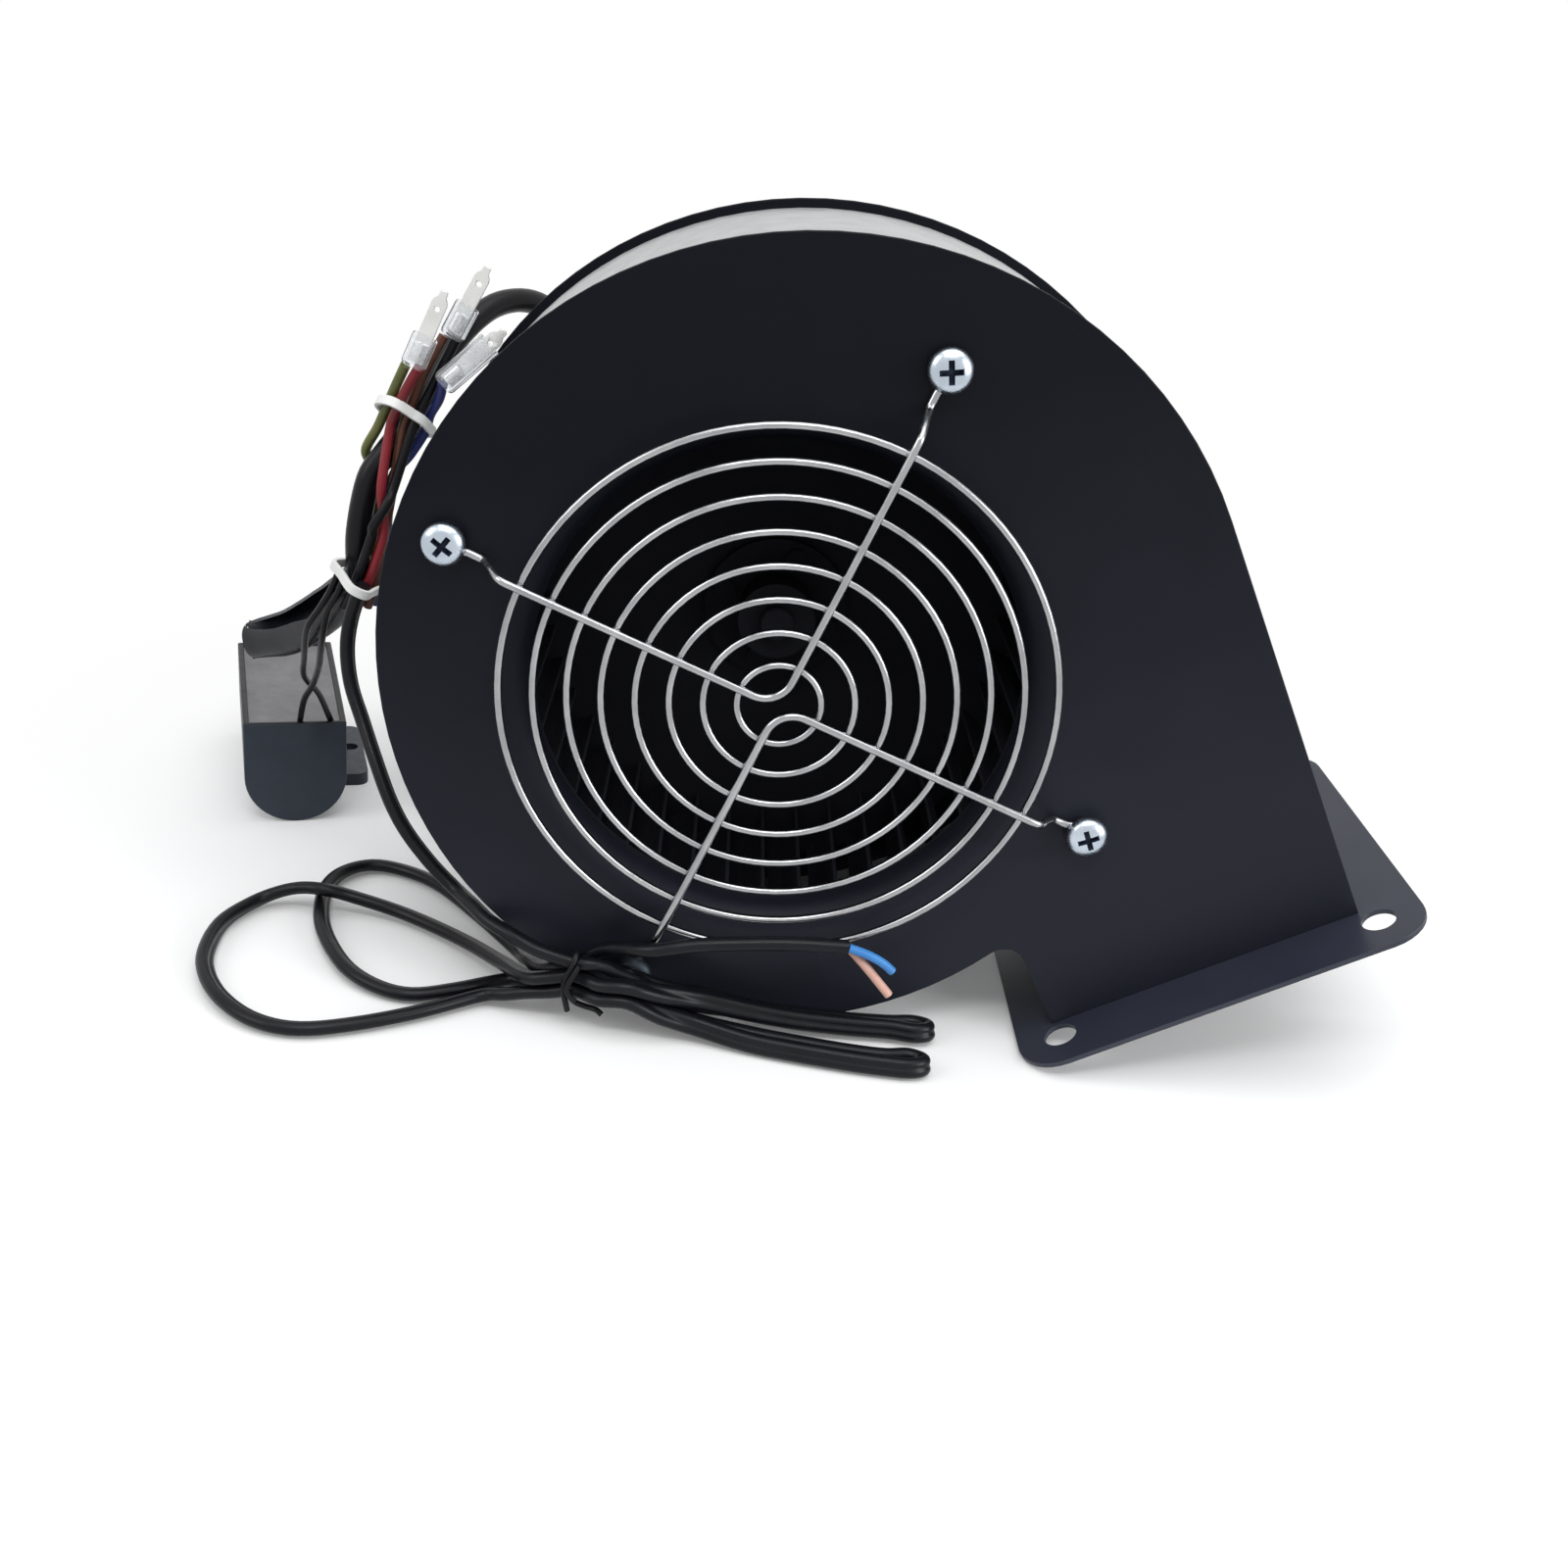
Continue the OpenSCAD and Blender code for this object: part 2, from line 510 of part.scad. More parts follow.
module guard_spokes() {
  color("#c3c7ca") standing() {
    spoke(guard_screw_turn);
    spoke(guard_screw_turn + 180);
  }
}
// Pan head with a cross recess, on its shank
module cross_screw(head_r, head_h, shank_r, shank_len) {
  recess_w = head_r * 0.28;
  recess_len = head_r * 1.15;
  difference() {
    union() {
      turned() polygon(concat([[0, 0]], [[head_r, 0]],
        [for (a = [0:15:90]) [head_r * (0.45 + 0.55 * cos(a)), -head_h * (0.3 + 0.7 * sin(a))]],
        [[0, -head_h]]));
      rod(shank_r, 0, shank_len);
    }
    for (turn = [0, 90]) rotate([0, turn, 0])
      translate([-recess_len / 2, -head_h - cut, -recess_w / 2])
        cube([recess_len, cut + head_h * 0.6, recess_w]);
  }
}
module guard_screws() {
  color("#cfd8e0") standing() for (turn = guard_turns)
    at_turn(guard_screw_circle_r, turn) translate([0, -spoke_wire, 0])
      cross_screw(guard_head_d / 2, guard_head_h, guard_screw_d / 2, guard_screw_len);
}

// Impeller
function blade_outline() =
  let (c = [blade_inner_r, -blade_curve_r], end = 90 - blade_sweep)
  concat(arc(c, blade_curve_r + blade_t / 2, 90, end, 6), arc(c, blade_curve_r - blade_t / 2, end, 90, 6));
module impeller_blades() {
  color("#2b2d30") standing() for (k = [0:blades_n - 1]) rotate([0, 360 * k / blades_n, 0])
    slab(blade_front, disc_front) polygon(blade_outline());
}
module impeller_front_ring() {
  color("#2b2d30") standing() turned()
    translate([blade_inner_r - blade_t, ring_front]) square([impeller_r - blade_inner_r + 2 * blade_t, disc_t]);
}
module impeller_back_disc() {
  color("#2b2d30") standing() difference() {
    rod(impeller_r + blade_t, disc_front, disc_rear);
    rod(hub_r + fit_clear, disc_front - cut, disc_rear + cut);
    ring_of_rods(rivet_circle_r, rivet_turns, rivet_d / 2 + fit_clear, disc_front - cut, disc_rear + cut);
  }
}
module impeller_hub() {
  hub_start = disc_front - hub_front;
  color("#9a9da0") standing() difference() {
    turned() polygon([[bore_r, hub_start], [hub_r, hub_start], [hub_r, disc_front - hub_flange_t],
      [hub_flange_r, disc_front - hub_flange_t], [hub_flange_r, disc_front], [hub_r, disc_front],
      [hub_r, disc_rear + 1], [bore_r, disc_rear + 1]]);
    translate([0, hub_start + hub_front / 3, 0]) cylinder(d = grub_d + 2 * thread_clear, h = hub_r + cut);
    ring_of_rods(rivet_circle_r, rivet_turns, rivet_d / 2 + fit_clear,
      disc_front - hub_flange_t - cut, disc_front + cut);
  }
}
module hub_rivets() {
  head_y = disc_front - hub_flange_t;
  color("#b5b8ba") standing() for (turn = rivet_turns) at_turn(rivet_circle_r, turn) {
    rod(rivet_head_r, head_y - rivet_head_h, head_y);
    rod(rivet_d / 2, head_y, disc_rear);
    rod(rivet_head_r, disc_rear, disc_rear + rivet_head_h);
  }
}
module hub_grub_screw() {
  color("#3a3c3f") standing() translate([0, disc_front - hub_front * 2 / 3, shaft_r + fit_clear])
    difference() {
      cylinder(d = grub_d, h = hub_r - shaft_r);
      translate([0, 0, hub_r - shaft_r - grub_d / 2]) cylinder(d = grub_d / 2, h = grub_d, $fn = 6);
    }
}

// Motor
module motor_front_cover() {
  inner_y = rear_face + cover_wall;
  pocket_end = front_bearing + bearing_w - 1;
  color("#b9bcbe") standing() difference() {
    turned() polygon([[shaft_r + 0.6, band_rear - 1], [boss_r, band_rear - 1], [boss_r, rear_face],
      [motor_r - 1, rear_face], [motor_r, rear_face + 1], [motor_r, shell_front],
      [shell_inner_r, shell_front], [shell_inner_r, inner_y],
      [bearing_r + pocket_wall, inner_y], [bearing_r + pocket_wall, pocket_end],
      [bearing_r + fit_clear, pocket_end], [bearing_r + fit_clear, front_bearing],
      [shaft_r + 0.6, front_bearing]]);
    ring_of_rods(mount_screw_circle_r, mount_turns, mount_screw_d / 2 + thread_clear,
      rear_face - cut, inner_y + cut);
    ring_of_rods(bolt_circle_r, bolt_turns, through_bolt_d / 2 + thread_clear, rear_face + 0.6, inner_y + cut);
  }
}
module motor_shell() {
  color("#3a3d40") standing() turned()
    translate([shell_inner_r, shell_front]) square([motor_wall, shell_len]);
}
module motor_rear_cover() {
  inner_y = cover_end - cover_wall;
  pocket_start = rear_bearing + 1;
  vent_in = bearing_r + pocket_wall + 2;
  vent_out = bolt_circle_r - through_bolt_d - 1;
  vent_w = 3;
  color("#b9bcbe") standing() difference() {
    turned() polygon([[0, cover_end], [motor_r - 1.5, cover_end], [motor_r, cover_end - 1.5],
      [motor_r, shell_rear], [shell_inner_r, shell_rear], [shell_inner_r, inner_y],
      [bearing_r + pocket_wall, inner_y], [bearing_r + pocket_wall, pocket_start],
      [bearing_r + fit_clear, pocket_start], [bearing_r + fit_clear, inner_y], [0, inner_y]]);
    for (k = [0:vents_n - 1]) rotate([0, 360 * (k + 0.5) / vents_n, 0])
      translate([vent_in, inner_y - cut, -vent_w / 2]) cube([vent_out - vent_in, cover_wall + 2 * cut, vent_w]);
    ring_of_rods(bolt_circle_r, bolt_turns, through_bolt_d / 2 + screw_clear, inner_y - cut, cover_end + cut);
    rotate([0, -grommet_turn, 0]) translate([0, grommet_y, 0]) rotate([0, 90, 0])
      cylinder(r = grommet_neck_r + fit_clear, h = motor_r + cut);
  }
}
module motor_bolts() {
  color("#c9ced2") standing() for (turn = bolt_turns) at_turn(bolt_circle_r, turn) {
    rod(through_bolt_d / 2, rear_face + 0.6, cover_end);
    difference() {
      rod(through_bolt_d * 0.93, cover_end, motor_end);
      translate([-through_bolt_d, motor_end - bolt_head_h / 2, -0.4]) cube([through_bolt_d * 2, bolt_head_h, 0.8]);
    }
  }
}
module motor_mount_screws() {
  color("#c9ced2") standing() for (turn = mount_turns)
    at_turn(mount_screw_circle_r, turn) translate([0, band_rear, 0])
      cross_screw(mount_screw_d * 0.9, bolt_head_h, mount_screw_d / 2, plate_t + cover_wall);
}
module stator_core() {
  mouth_w = 1.6;
  color("#7d8286") standing() difference() {
    slab(stack_front, stack_rear) difference() {
      circle(r = stator_r);
      circle(r = stator_bore_r);
      for (k = [0:slots_n - 1]) rotate(360 * (k + 0.5) / slots_n) {
        translate([slot_circle_r, 0]) circle(r = slot_r);
        translate([stator_bore_r - 1, -mouth_w / 2]) square([slot_circle_r - stator_bore_r + 1, mouth_w]);
      }
    }
    ring_of_rods(bolt_circle_r, bolt_turns, through_bolt_d / 2 + screw_clear, stack_front - cut, stack_rear + cut);
  }
}
module stator_windings() {
  turn_r = slot_r - 0.3;
  color("#a8572a") standing() {
    for (from = [stack_front - winding_h, stack_rear]) turned()
      translate([winding_inner_r, from]) square([winding_outer_r - winding_inner_r, winding_h]);
    for (k = [0:slots_n - 1]) rotate([0, -360 * (k + 0.5) / slots_n, 0])
      translate([slot_circle_r, 0, 0]) rod(turn_r, stack_front - winding_h / 2, stack_rear + winding_h / 2);
  }
}
module rotor_core() {
  color("#8d9194") standing() difference() {
    rod(rotor_r, stack_front, stack_rear);
    rod(bore_r, stack_front - cut, stack_rear + cut);
  }
}
module rotor_end_rings() {
  color("#d0d3d5") standing() for (from = [stack_front - end_ring_h, stack_rear]) turned()
    translate([rotor_r * 0.6, from]) square([rotor_r * 0.36, end_ring_h]);
}
module motor_shaft() {
  color("#d3d6d8") standing()
    turned() polygon([[0, disc_front - hub_front - 3], [shaft_r - 0.5, disc_front - hub_front - 3],
      [shaft_r, disc_front - hub_front - 2.5], [shaft_r, cover_end - cover_wall - 0.5],
      [0, cover_end - cover_wall - 0.5]]);
}
module bearing_outer_rings() {
  color("#dfe2e4") standing() for (from = [front_bearing, rear_bearing]) turned()
    translate([bearing_r - bearing_wall, from]) square([bearing_wall, bearing_w]);
}
module bearing_inner_rings() {
  color("#dfe2e4") standing() for (from = [front_bearing, rear_bearing]) turned()
    translate([bore_r, from]) square([bearing_wall, bearing_w]);
}
module bearing_balls() {
  color("#eef0f1") standing() for (from = [front_bearing, rear_bearing], k = [0:balls_n - 1])
    at_turn(ball_circle_r, 360 * k / balls_n) translate([0, from + bearing_w / 2, 0]) sphere(r = ball_r, $fn = 24);
}
module cable_grommet() {
  lip = 1.2;
  color("#1d1e20") standing() rotate([0, -grommet_turn, 0]) translate([0, grommet_y, 0]) rotate([0, 90, 0])
    rotate_extrude() polygon([[sleeve_d / 2, shell_inner_r - lip], [grommet_lip_r, shell_inner_r - lip],
      [grommet_lip_r, shell_inner_r - 0.6], [grommet_neck_r, shell_inner_r - 0.6],
      [grommet_neck_r, motor_r + 0.2], [grommet_flange_r, motor_r + 0.2],
      [sleeve_d / 2 + 0.8, motor_r + grommet_out], [sleeve_d / 2, motor_r + grommet_out]]);
}

// Wiring
module motor_sleeve() {
  color("#1c1d20") tube(smooth(sleeve_route, 1), sleeve_d, sleeve_d, 12, [1, 0, 0]);
}
// A tube whose width and height change from point to point
module flared(p, w, h, sides) {
  n = len(p);
  rings = [for (i = [0:n - 1]) each tube_ring(p[i], heading(p, i), [0, 1, 1], w[i], h[i], sides)];
  walls = [for (i = [0:n - 2], k = [0:sides - 1], half = [0, 1])
    half == 0 ? [i * sides + k, i * sides + (k + 1) % sides, (i + 1) * sides + k]
      : [i * sides + (k + 1) % sides, (i + 1) * sides + (k + 1) % sides, (i + 1) * sides + k]];
  first = [[for (k = [sides - 1:-1:0]) k]];
  last = [[for (k = [0:sides - 1]) (n - 1) * sides + k]];
  polyhedron(points = rings, faces = concat(walls, first, last), convexity = 10);
}
// Flattened outer sleeve below the lower tie, open at its lower end
module harness_boot() {
  n = len(boot_route);
  wall = 1;
  wide = [10.4, 11.5, 13.5, 16, 18, 19];
  high = [10.4, 10, 9.6, 9.6, 10, 10.4];
  past = boot_route[n - 1] + unit(boot_route[n - 1] - boot_route[n - 2]);
  inner = concat([for (i = [2:n - 1]) boot_route[i]], [past]);
  color("#26282c") difference() {
    flared(boot_route, wide, high, 16);
    flared(inner, [for (i = [2:n]) wide[min(i, n - 1)] - 2 * wall],
      [for (i = [2:n]) high[min(i, n - 1)] - 2 * wall], 16);
  }
}
// A tie strap round the bundle: an oval band with its lock on one side
module tie_strap(c, turn, lean, size, shift) {
  strap_t = 0.9;
  strap_w = 2.2;
  translate(c) rotate([lean, 0, 0]) rotate([0, turn, 0]) translate([shift[0], shift[1], -strap_w / 2]) {
    linear_extrude(strap_w) difference() {
      offset(r = strap_t) square(size, center = true);
      square(size, center = true);
    }
    translate([0, size[1] / 2 + 1.4, strap_w / 2]) cube([4.4, 2.8, 3.6], center = true);
  }
}
module cable_ties() {
  color("#eceae6") {
    tie_strap([-117.2, -3.4, 118.5], 18, -32, [12.8, 12.2], [0, -0.2]);
    tie_strap([-126.6, -8.6, 82.5], 18, 0, [11.6, 15.4], [0, 0]);
  }
}
module lead_earth() { color("#8aa637") wire(earth_route, lead_d, 1); }
module lead_red() { color("#a8262c") wire(red_route, lead_d, 1); }
module lead_brown() { color("#6b3b22") wire(brown_route, lead_d, 1); }
module lead_black() { color("#1a1a1d") wire(black_route, lead_d, 1); }
module lead_blue() { color("#23306e") wire(blue_route, lead_d, 1); }
// Base, lean to the right, length and sleeve length of each spade
spades = [[[-114.3, -12, 132.2], 22, 17.5, 7], [[-107.3, -6, 138.1], 26, 17, 7.5],
  [[-108.2, -10, 128.6], 45.6, 18, 13.5]];
spade_sleeve_t = 3.8;
spade_sleeve_w = 5.4;
module spade_terminals() {
  color("#d9dadb") for (s = spades) translate(s[0]) rotate([0, s[1], 0]) {
    translate([-spade_w / 2, -spade_t / 2, 1]) cube([spade_w, spade_t, s[2] - 3]);
    translate([-spade_w / 4, -spade_t / 2, s[2] - 2]) cube([spade_w / 2, spade_t, 2]);
  }
}
module terminal_sleeves() {
  color("#e6e7ea") for (s = spades) translate(s[0]) rotate([0, s[1], 0]) difference() {
    translate([-spade_sleeve_w / 2, -spade_sleeve_t / 2, 0])
      cube([spade_sleeve_w, spade_sleeve_t, s[3]]);
    translate([-spade_w / 2 - 0.1, -spade_t / 2 - 0.1, 0.9])
      cube([spade_w + 0.2, spade_t + 0.2, s[3]]);
  }
}
module on_floor() {
  translate([capacitor_at[0], capacitor_at[1], 0]) rotate(capacitor_turn) children();
}
module capacitor_end(inset) {
  r = capacitor_w / 2 - inset;
  translate([0, capacitor_w / 2]) circle(r = r);
  translate([-r, capacitor_w / 2]) square([2 * r, capacitor_h - capacitor_w / 2]);
}
module capacitor_case() {
  ear_in = capacitor_w / 2 - 8;
  ear_far = capacitor_w / 2 + ear_out;
  ear_from = capacitor_len - ear_len - ear_end;
  color("#3c444e") on_floor() difference() {
    union() {
      slab(0, capacitor_len) intersection() {
        capacitor_end(0);
        translate([-capacitor_w, 0]) square([2 * capacitor_w, capacitor_h]);
      }
      translate([ear_in, ear_from, 0]) cube([ear_far - ear_in, ear_len, ear_t]);
    }
    translate([0, capacitor_wall, 0]) slab(0, capacitor_len - 2 * capacitor_wall) intersection() {
      capacitor_end(capacitor_wall);
      translate([-capacitor_w, capacitor_h - fill_depth]) square([2 * capacitor_w, capacitor_h]);
    }
    translate([ear_far - ear_out / 2, capacitor_len - ear_hole_in, -cut])
      cylinder(d = ear_hole_d, h = ear_t + 2 * cut);
  }
}
module capacitor_fill() {
  w = capacitor_w - 2 * capacitor_wall;
  color("#c4c2c3") on_floor() translate([-w / 2, capacitor_wall, capacitor_h - fill_depth])
    cube([w, capacitor_len - 2 * capacitor_wall, fill_depth - fill_sink]);
}
module capacitor_lead_left() { color("#1f2023") wire(fill_left_route, fill_lead_d, 1); }
module capacitor_lead_right() { color("#1f2023") wire(fill_right_route, fill_lead_d, 1); }
module power_cord() {
  color("#17181a") tube(smooth(cord_route, 1), cord_t, cord_w, wire_sides, cord_face);
}
module cord_tie() {
  strap_w = 2.4;
  outer = [[-60.1, 6], [-49, 5.9], [-49, 15.8], [-53.4, 16.4], [-54, 19.4], [-60.1, 19.4]];
  inner = [[-59.5, 6.6], [-49.6, 6.5], [-49.6, 15.3], [-53.9, 15.9], [-54.5, 18.8], [-59.5, 18.8]];
  color("#151618") translate([cord_tie_x - strap_w / 2, 0, 0]) rotate([90, 0, 90])
    linear_extrude(strap_w) difference() {
      polygon(outer);
      polygon(inner);
    }
}
module core_blue() { color("#2f6fb5") wire(blue_core_route, core_d, 2, [0, 1, 0]); }
module core_brown() { color("#b98572") wire(brown_core_route, core_d, 2, [0, 1, 0]); }

front_plate();
scroll_band();
rear_plate();
outlet_flange();
guard_rings();
guard_spokes();
guard_screws();
impeller_blades();
impeller_front_ring();
impeller_back_disc();
impeller_hub();
hub_rivets();
hub_grub_screw();
motor_front_cover();
motor_shell();
motor_rear_cover();
motor_bolts();
motor_mount_screws();
stator_core();
stator_windings();
rotor_core();
rotor_end_rings();
motor_shaft();
bearing_outer_rings();
bearing_inner_rings();
bearing_balls();
cable_grommet();
motor_sleeve();
harness_boot();
cable_ties();
lead_earth();
lead_red();
lead_brown();
lead_black();
lead_blue();
spade_terminals();
terminal_sleeves();
capacitor_case();
capacitor_fill();
capacitor_lead_left();
capacitor_lead_right();
power_cord();
cord_tie();
core_blue();
core_brown();
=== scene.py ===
import bpy, bmesh, math
from mathutils import Matrix, Vector


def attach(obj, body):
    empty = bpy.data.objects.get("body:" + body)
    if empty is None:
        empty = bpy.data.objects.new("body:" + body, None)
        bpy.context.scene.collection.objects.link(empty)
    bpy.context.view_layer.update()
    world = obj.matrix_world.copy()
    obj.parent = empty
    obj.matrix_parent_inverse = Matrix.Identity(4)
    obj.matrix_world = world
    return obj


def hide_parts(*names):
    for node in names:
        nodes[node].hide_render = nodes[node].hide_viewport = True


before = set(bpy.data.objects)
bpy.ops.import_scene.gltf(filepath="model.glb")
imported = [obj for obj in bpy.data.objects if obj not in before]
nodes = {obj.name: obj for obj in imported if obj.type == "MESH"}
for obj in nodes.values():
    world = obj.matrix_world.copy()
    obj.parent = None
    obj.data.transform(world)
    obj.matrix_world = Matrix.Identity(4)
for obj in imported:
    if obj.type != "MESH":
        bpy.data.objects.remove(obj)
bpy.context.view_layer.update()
scene = bpy.context.scene
MM = 0.001


def mm(x, y, z):
    return Vector((x, y, z)) * MM


# Camera at the photograph's angle
CAMERA_AT = (-0.0476, -0.3675, 0.2053)
AHEAD = Vector((0.0561, 0.9081, -0.4149)).normalized()
UPWARDS = Vector((-0.0894, 0.4184, 0.9038))
camera_data = bpy.data.cameras.new("camera")
camera_data.lens = 37.8
camera_data.sensor_width = 36
camera = bpy.data.objects.new("camera", camera_data)
scene.collection.objects.link(camera)
right = AHEAD.cross(UPWARDS).normalized()
camera.matrix_world = (Matrix.Translation(CAMERA_AT)
                       @ Matrix((right, right.cross(AHEAD), -AHEAD)).transposed().to_4x4())
scene.camera = camera


# Materials
def set_inputs(node, **values):
    """Sets a shader node's inputs by their names, with _ for a space."""
    for socket, value in values.items():
        node.inputs[socket.replace("_", " ")].default_value = value
    return node


class Finish:
    """A material made of one shader with its colour, roughness and bump from nodes."""

    SLOW = 38
    GRAIN = 0.22

    def __init__(self, name, colour, rough, metal=0.0, **shader):
        self.material = bpy.data.materials.new(name)
        self.material.use_nodes = True
        self.tree = self.material.node_tree
        self.shader = self.tree.nodes["Principled BSDF"]
        self.coords = self.add("ShaderNodeTexCoord").outputs["Object"]
        set_inputs(self.shader, Base_Color=(*colour, 1), Roughness=rough, Metallic=metal, **shader)

    def add(self, kind, **inputs):
        return set_inputs(self.tree.nodes.new(kind), **inputs)

    def link(self, a, b):
        self.tree.links.new(a, b)

    def noise(self, scale, detail=3.0, stretch=None):
        node = self.add("ShaderNodeTexNoise", Scale=scale, Detail=detail)
        coords = self.coords
        if stretch:
            mapping = self.add("ShaderNodeMapping", Scale=stretch)
            self.link(coords, mapping.inputs["Vector"])
            coords = mapping.outputs["Vector"]
        self.link(coords, node.inputs["Vector"])
        return node.outputs["Fac"]

    def spread(self, value, low, high, first=0.25, last=0.75):
        """Maps the range from first to last of a value to the range from low to high."""
        node = self.add("ShaderNodeMapRange", From_Min=first, From_Max=last, To_Min=low, To_Max=high)
        self.link(value, node.inputs["Value"])
        return node.outputs["Result"]

    def fall(self, way, first, last):
        """A slow change along one direction, with a little noise in it."""
        along = self.add("ShaderNodeVectorMath")
        along.operation = "DOT_PRODUCT"
        along.inputs[1].default_value = way
        self.link(self.coords, along.inputs[0])
        change = self.spread(along.outputs["Value"], -self.GRAIN / 2, 1 - self.GRAIN / 2, first, last)
        grain = self.add("ShaderNodeMath")
        grain.operation = "MULTIPLY_ADD"
        grain.inputs[1].default_value = self.GRAIN
        self.link(self.noise(self.SLOW), grain.inputs[0])
        self.link(change, grain.inputs[2])
        return grain.outputs[0]

    def tint(self, value, dark, light):
        node = self.add("ShaderNodeMix")
        node.data_type = "RGBA"
        set_inputs(node, A=(*dark, 1), B=(*light, 1))
        self.link(self.spread(value, 0, 1), node.inputs["Factor"])
        self.link(node.outputs["Result"], self.shader.inputs["Base Color"])

    def roughen(self, value, low, high):
        self.link(self.spread(value, low, high), self.shader.inputs["Roughness"])

    def bump(self, value, strength, distance):
        node = self.add("ShaderNodeBump", Strength=strength, Distance=distance)
        self.link(value, node.inputs["Height"])
        self.link(node.outputs["Normal"], self.shader.inputs["Normal"])


def coat(name, dark, light, rough, gloss, painted_sheen_below=False):
    """Sprayed coat: a fine grain, a slow change of shade, on request a painted reflection that darkens it at the top
    and lightens it towards the lower right, and a faint orange peel.
    """
    f = Finish(name, dark, rough, Specular_IOR_Level=gloss)
    # painted reflection: a gradient in object space, darker at the top and lighter towards the lower right
    shade = f.fall((0.25, 0, -1), first=-0.20, last=0.005) if painted_sheen_below else f.noise(f.SLOW)
    f.tint(shade, dark, light)
    f.roughen(f.noise(160), rough - 0.03, rough + 0.04)
    f.bump(f.noise(2600, detail=2), strength=0.16, distance=0.06 * MM)
    return f.material


def metal(name, dark, light, rough, grain=700, stretch=None):
    """Bare or plated metal, its grain stretched where it is drawn or ground."""
    f = Finish(name, light, rough, metal=1.0)
    f.tint(f.noise(grain / 6, detail=4), dark, light)
    f.roughen(f.noise(grain, stretch=stretch), rough - 0.07, rough + 0.09)
    f.bump(f.noise(grain * 2, detail=2, stretch=stretch), strength=0.15, distance=0.02 * MM)
    return f.material


def plastic(name, dark, light, rough, gloss=0.35):
    """Moulded or drawn plastic with a slightly uneven skin."""
    f = Finish(name, light, rough, Specular_IOR_Level=gloss)
    f.tint(f.noise(120, detail=4), dark, light)
    f.roughen(f.noise(420), rough - 0.05, rough + 0.09)
    f.bump(f.noise(1500, detail=2), strength=0.1, distance=0.03 * MM)
    return f.material


def spangled_zinc():
    """Galvanised sheet: soft crystals of zinc a few millimetres across."""
    f = Finish("galvanised_sheet", (0.38, 0.39, 0.395), rough=0.45, metal=0.4)
    crystals = f.add("ShaderNodeTexVoronoi", Scale=210)
    f.link(f.coords, crystals.inputs["Vector"])
    f.tint(crystals.outputs["Color"], (0.355, 0.365, 0.37), (0.395, 0.405, 0.41))
    f.roughen(f.noise(240), 0.38, 0.54)
    f.bump(f.noise(900), strength=0.08, distance=0.03 * MM)
    return f.material


def clear_sleeve_finish():
    """Clear soft plastic, a little milky."""
    f = Finish("clear_sleeve", (0.95, 0.96, 0.98), rough=0.08, IOR=1.1, Transmission_Weight=0.88)
    f.roughen(f.noise(300), 0.04, 0.12)
    return f.material


# Each finish: its darker and lighter shade, roughness, then gloss or grain
# The black coat carries the painted reflection: darker at the top, lighter towards the lower right.
black_coat = coat("black_coat", (0.0020, 0.0025, 0.0055), (0.0135, 0.0150, 0.0225), 0.44, 0.12, True)
# painted light: a lighter and glossier copy of the black coat, standing in for the light on the flange's upward face
flange_coat_painted_light = coat("flange_coat_painted_light", (0.0205, 0.0240, 0.0380), (0.0290, 0.0330, 0.0490), 0.34, 0.34)
impeller_coat = coat("impeller_coat", (0.0140, 0.0145, 0.0185), (0.0200, 0.0205, 0.0260), 0.6, 0.08)
# Real black on the impeller's back disc; on the hub, its rivets and grub screw, the motor's mount screws and the shaft
# it is painted shade that darkens bare metal sitting in shade inside the fan.
inner_black_and_painted_shade = coat("inner_black_and_painted_shade", (0.0115, 0.0118, 0.0150), (0.0155, 0.0160, 0.0200), 0.7, 0.04)
galvanised = spangled_zinc()
zinc_wire = metal("zinc_wire", (0.30, 0.305, 0.315), (0.43, 0.435, 0.445), 0.19, 900)
zinc_screw = metal("zinc_screw", (0.42, 0.48, 0.55), (0.55, 0.61, 0.68), 0.26, 800)
# painted shadow: a dark copy of the screw zinc for the screw behind the cord
painted_shadow_zinc = metal("painted_shadow_zinc", (0.030, 0.038, 0.048), (0.055, 0.066, 0.080), 0.5)
# painted shade: dark bluish finish for the inside of the screws' cross recesses
painted_recess_shade = coat("painted_recess_shade", (0.010, 0.016, 0.036), (0.020, 0.030, 0.058), 0.5, 0.2)
cover_alloy = metal("cover_alloy", (0.40, 0.41, 0.42), (0.48, 0.49, 0.50), 0.42, 500)
shell_coat = coat("shell_coat", (0.022, 0.024, 0.027), (0.030, 0.032, 0.036), 0.42, 0.3)
lamination = metal("lamination", (0.20, 0.21, 0.22), (0.30, 0.31, 0.32), 0.46, 600, (1, 30, 1))
copper = metal("copper", (0.42, 0.16, 0.06), (0.60, 0.25, 0.10), 0.34, 900, (1, 1, 20))
cast_bars = metal("cast_bars", (0.55, 0.56, 0.57), (0.70, 0.71, 0.72), 0.4)
ground_steel = metal("ground_steel", (0.55, 0.56, 0.58), (0.70, 0.71, 0.73), 0.2, 1400, (1, 12, 1))
black_pvc = plastic("black_pvc", (0.0042, 0.0043, 0.0056), (0.0070, 0.0072, 0.0090), 0.33, 0.16)
cord_pvc = plastic("cord_pvc", (0.0042, 0.0045, 0.0062), (0.0072, 0.0076, 0.0100), 0.30, 0.18)
boot_pvc = plastic("boot_pvc", (0.0055, 0.0062, 0.0095), (0.0095, 0.0102, 0.0140), 0.27, 0.2)
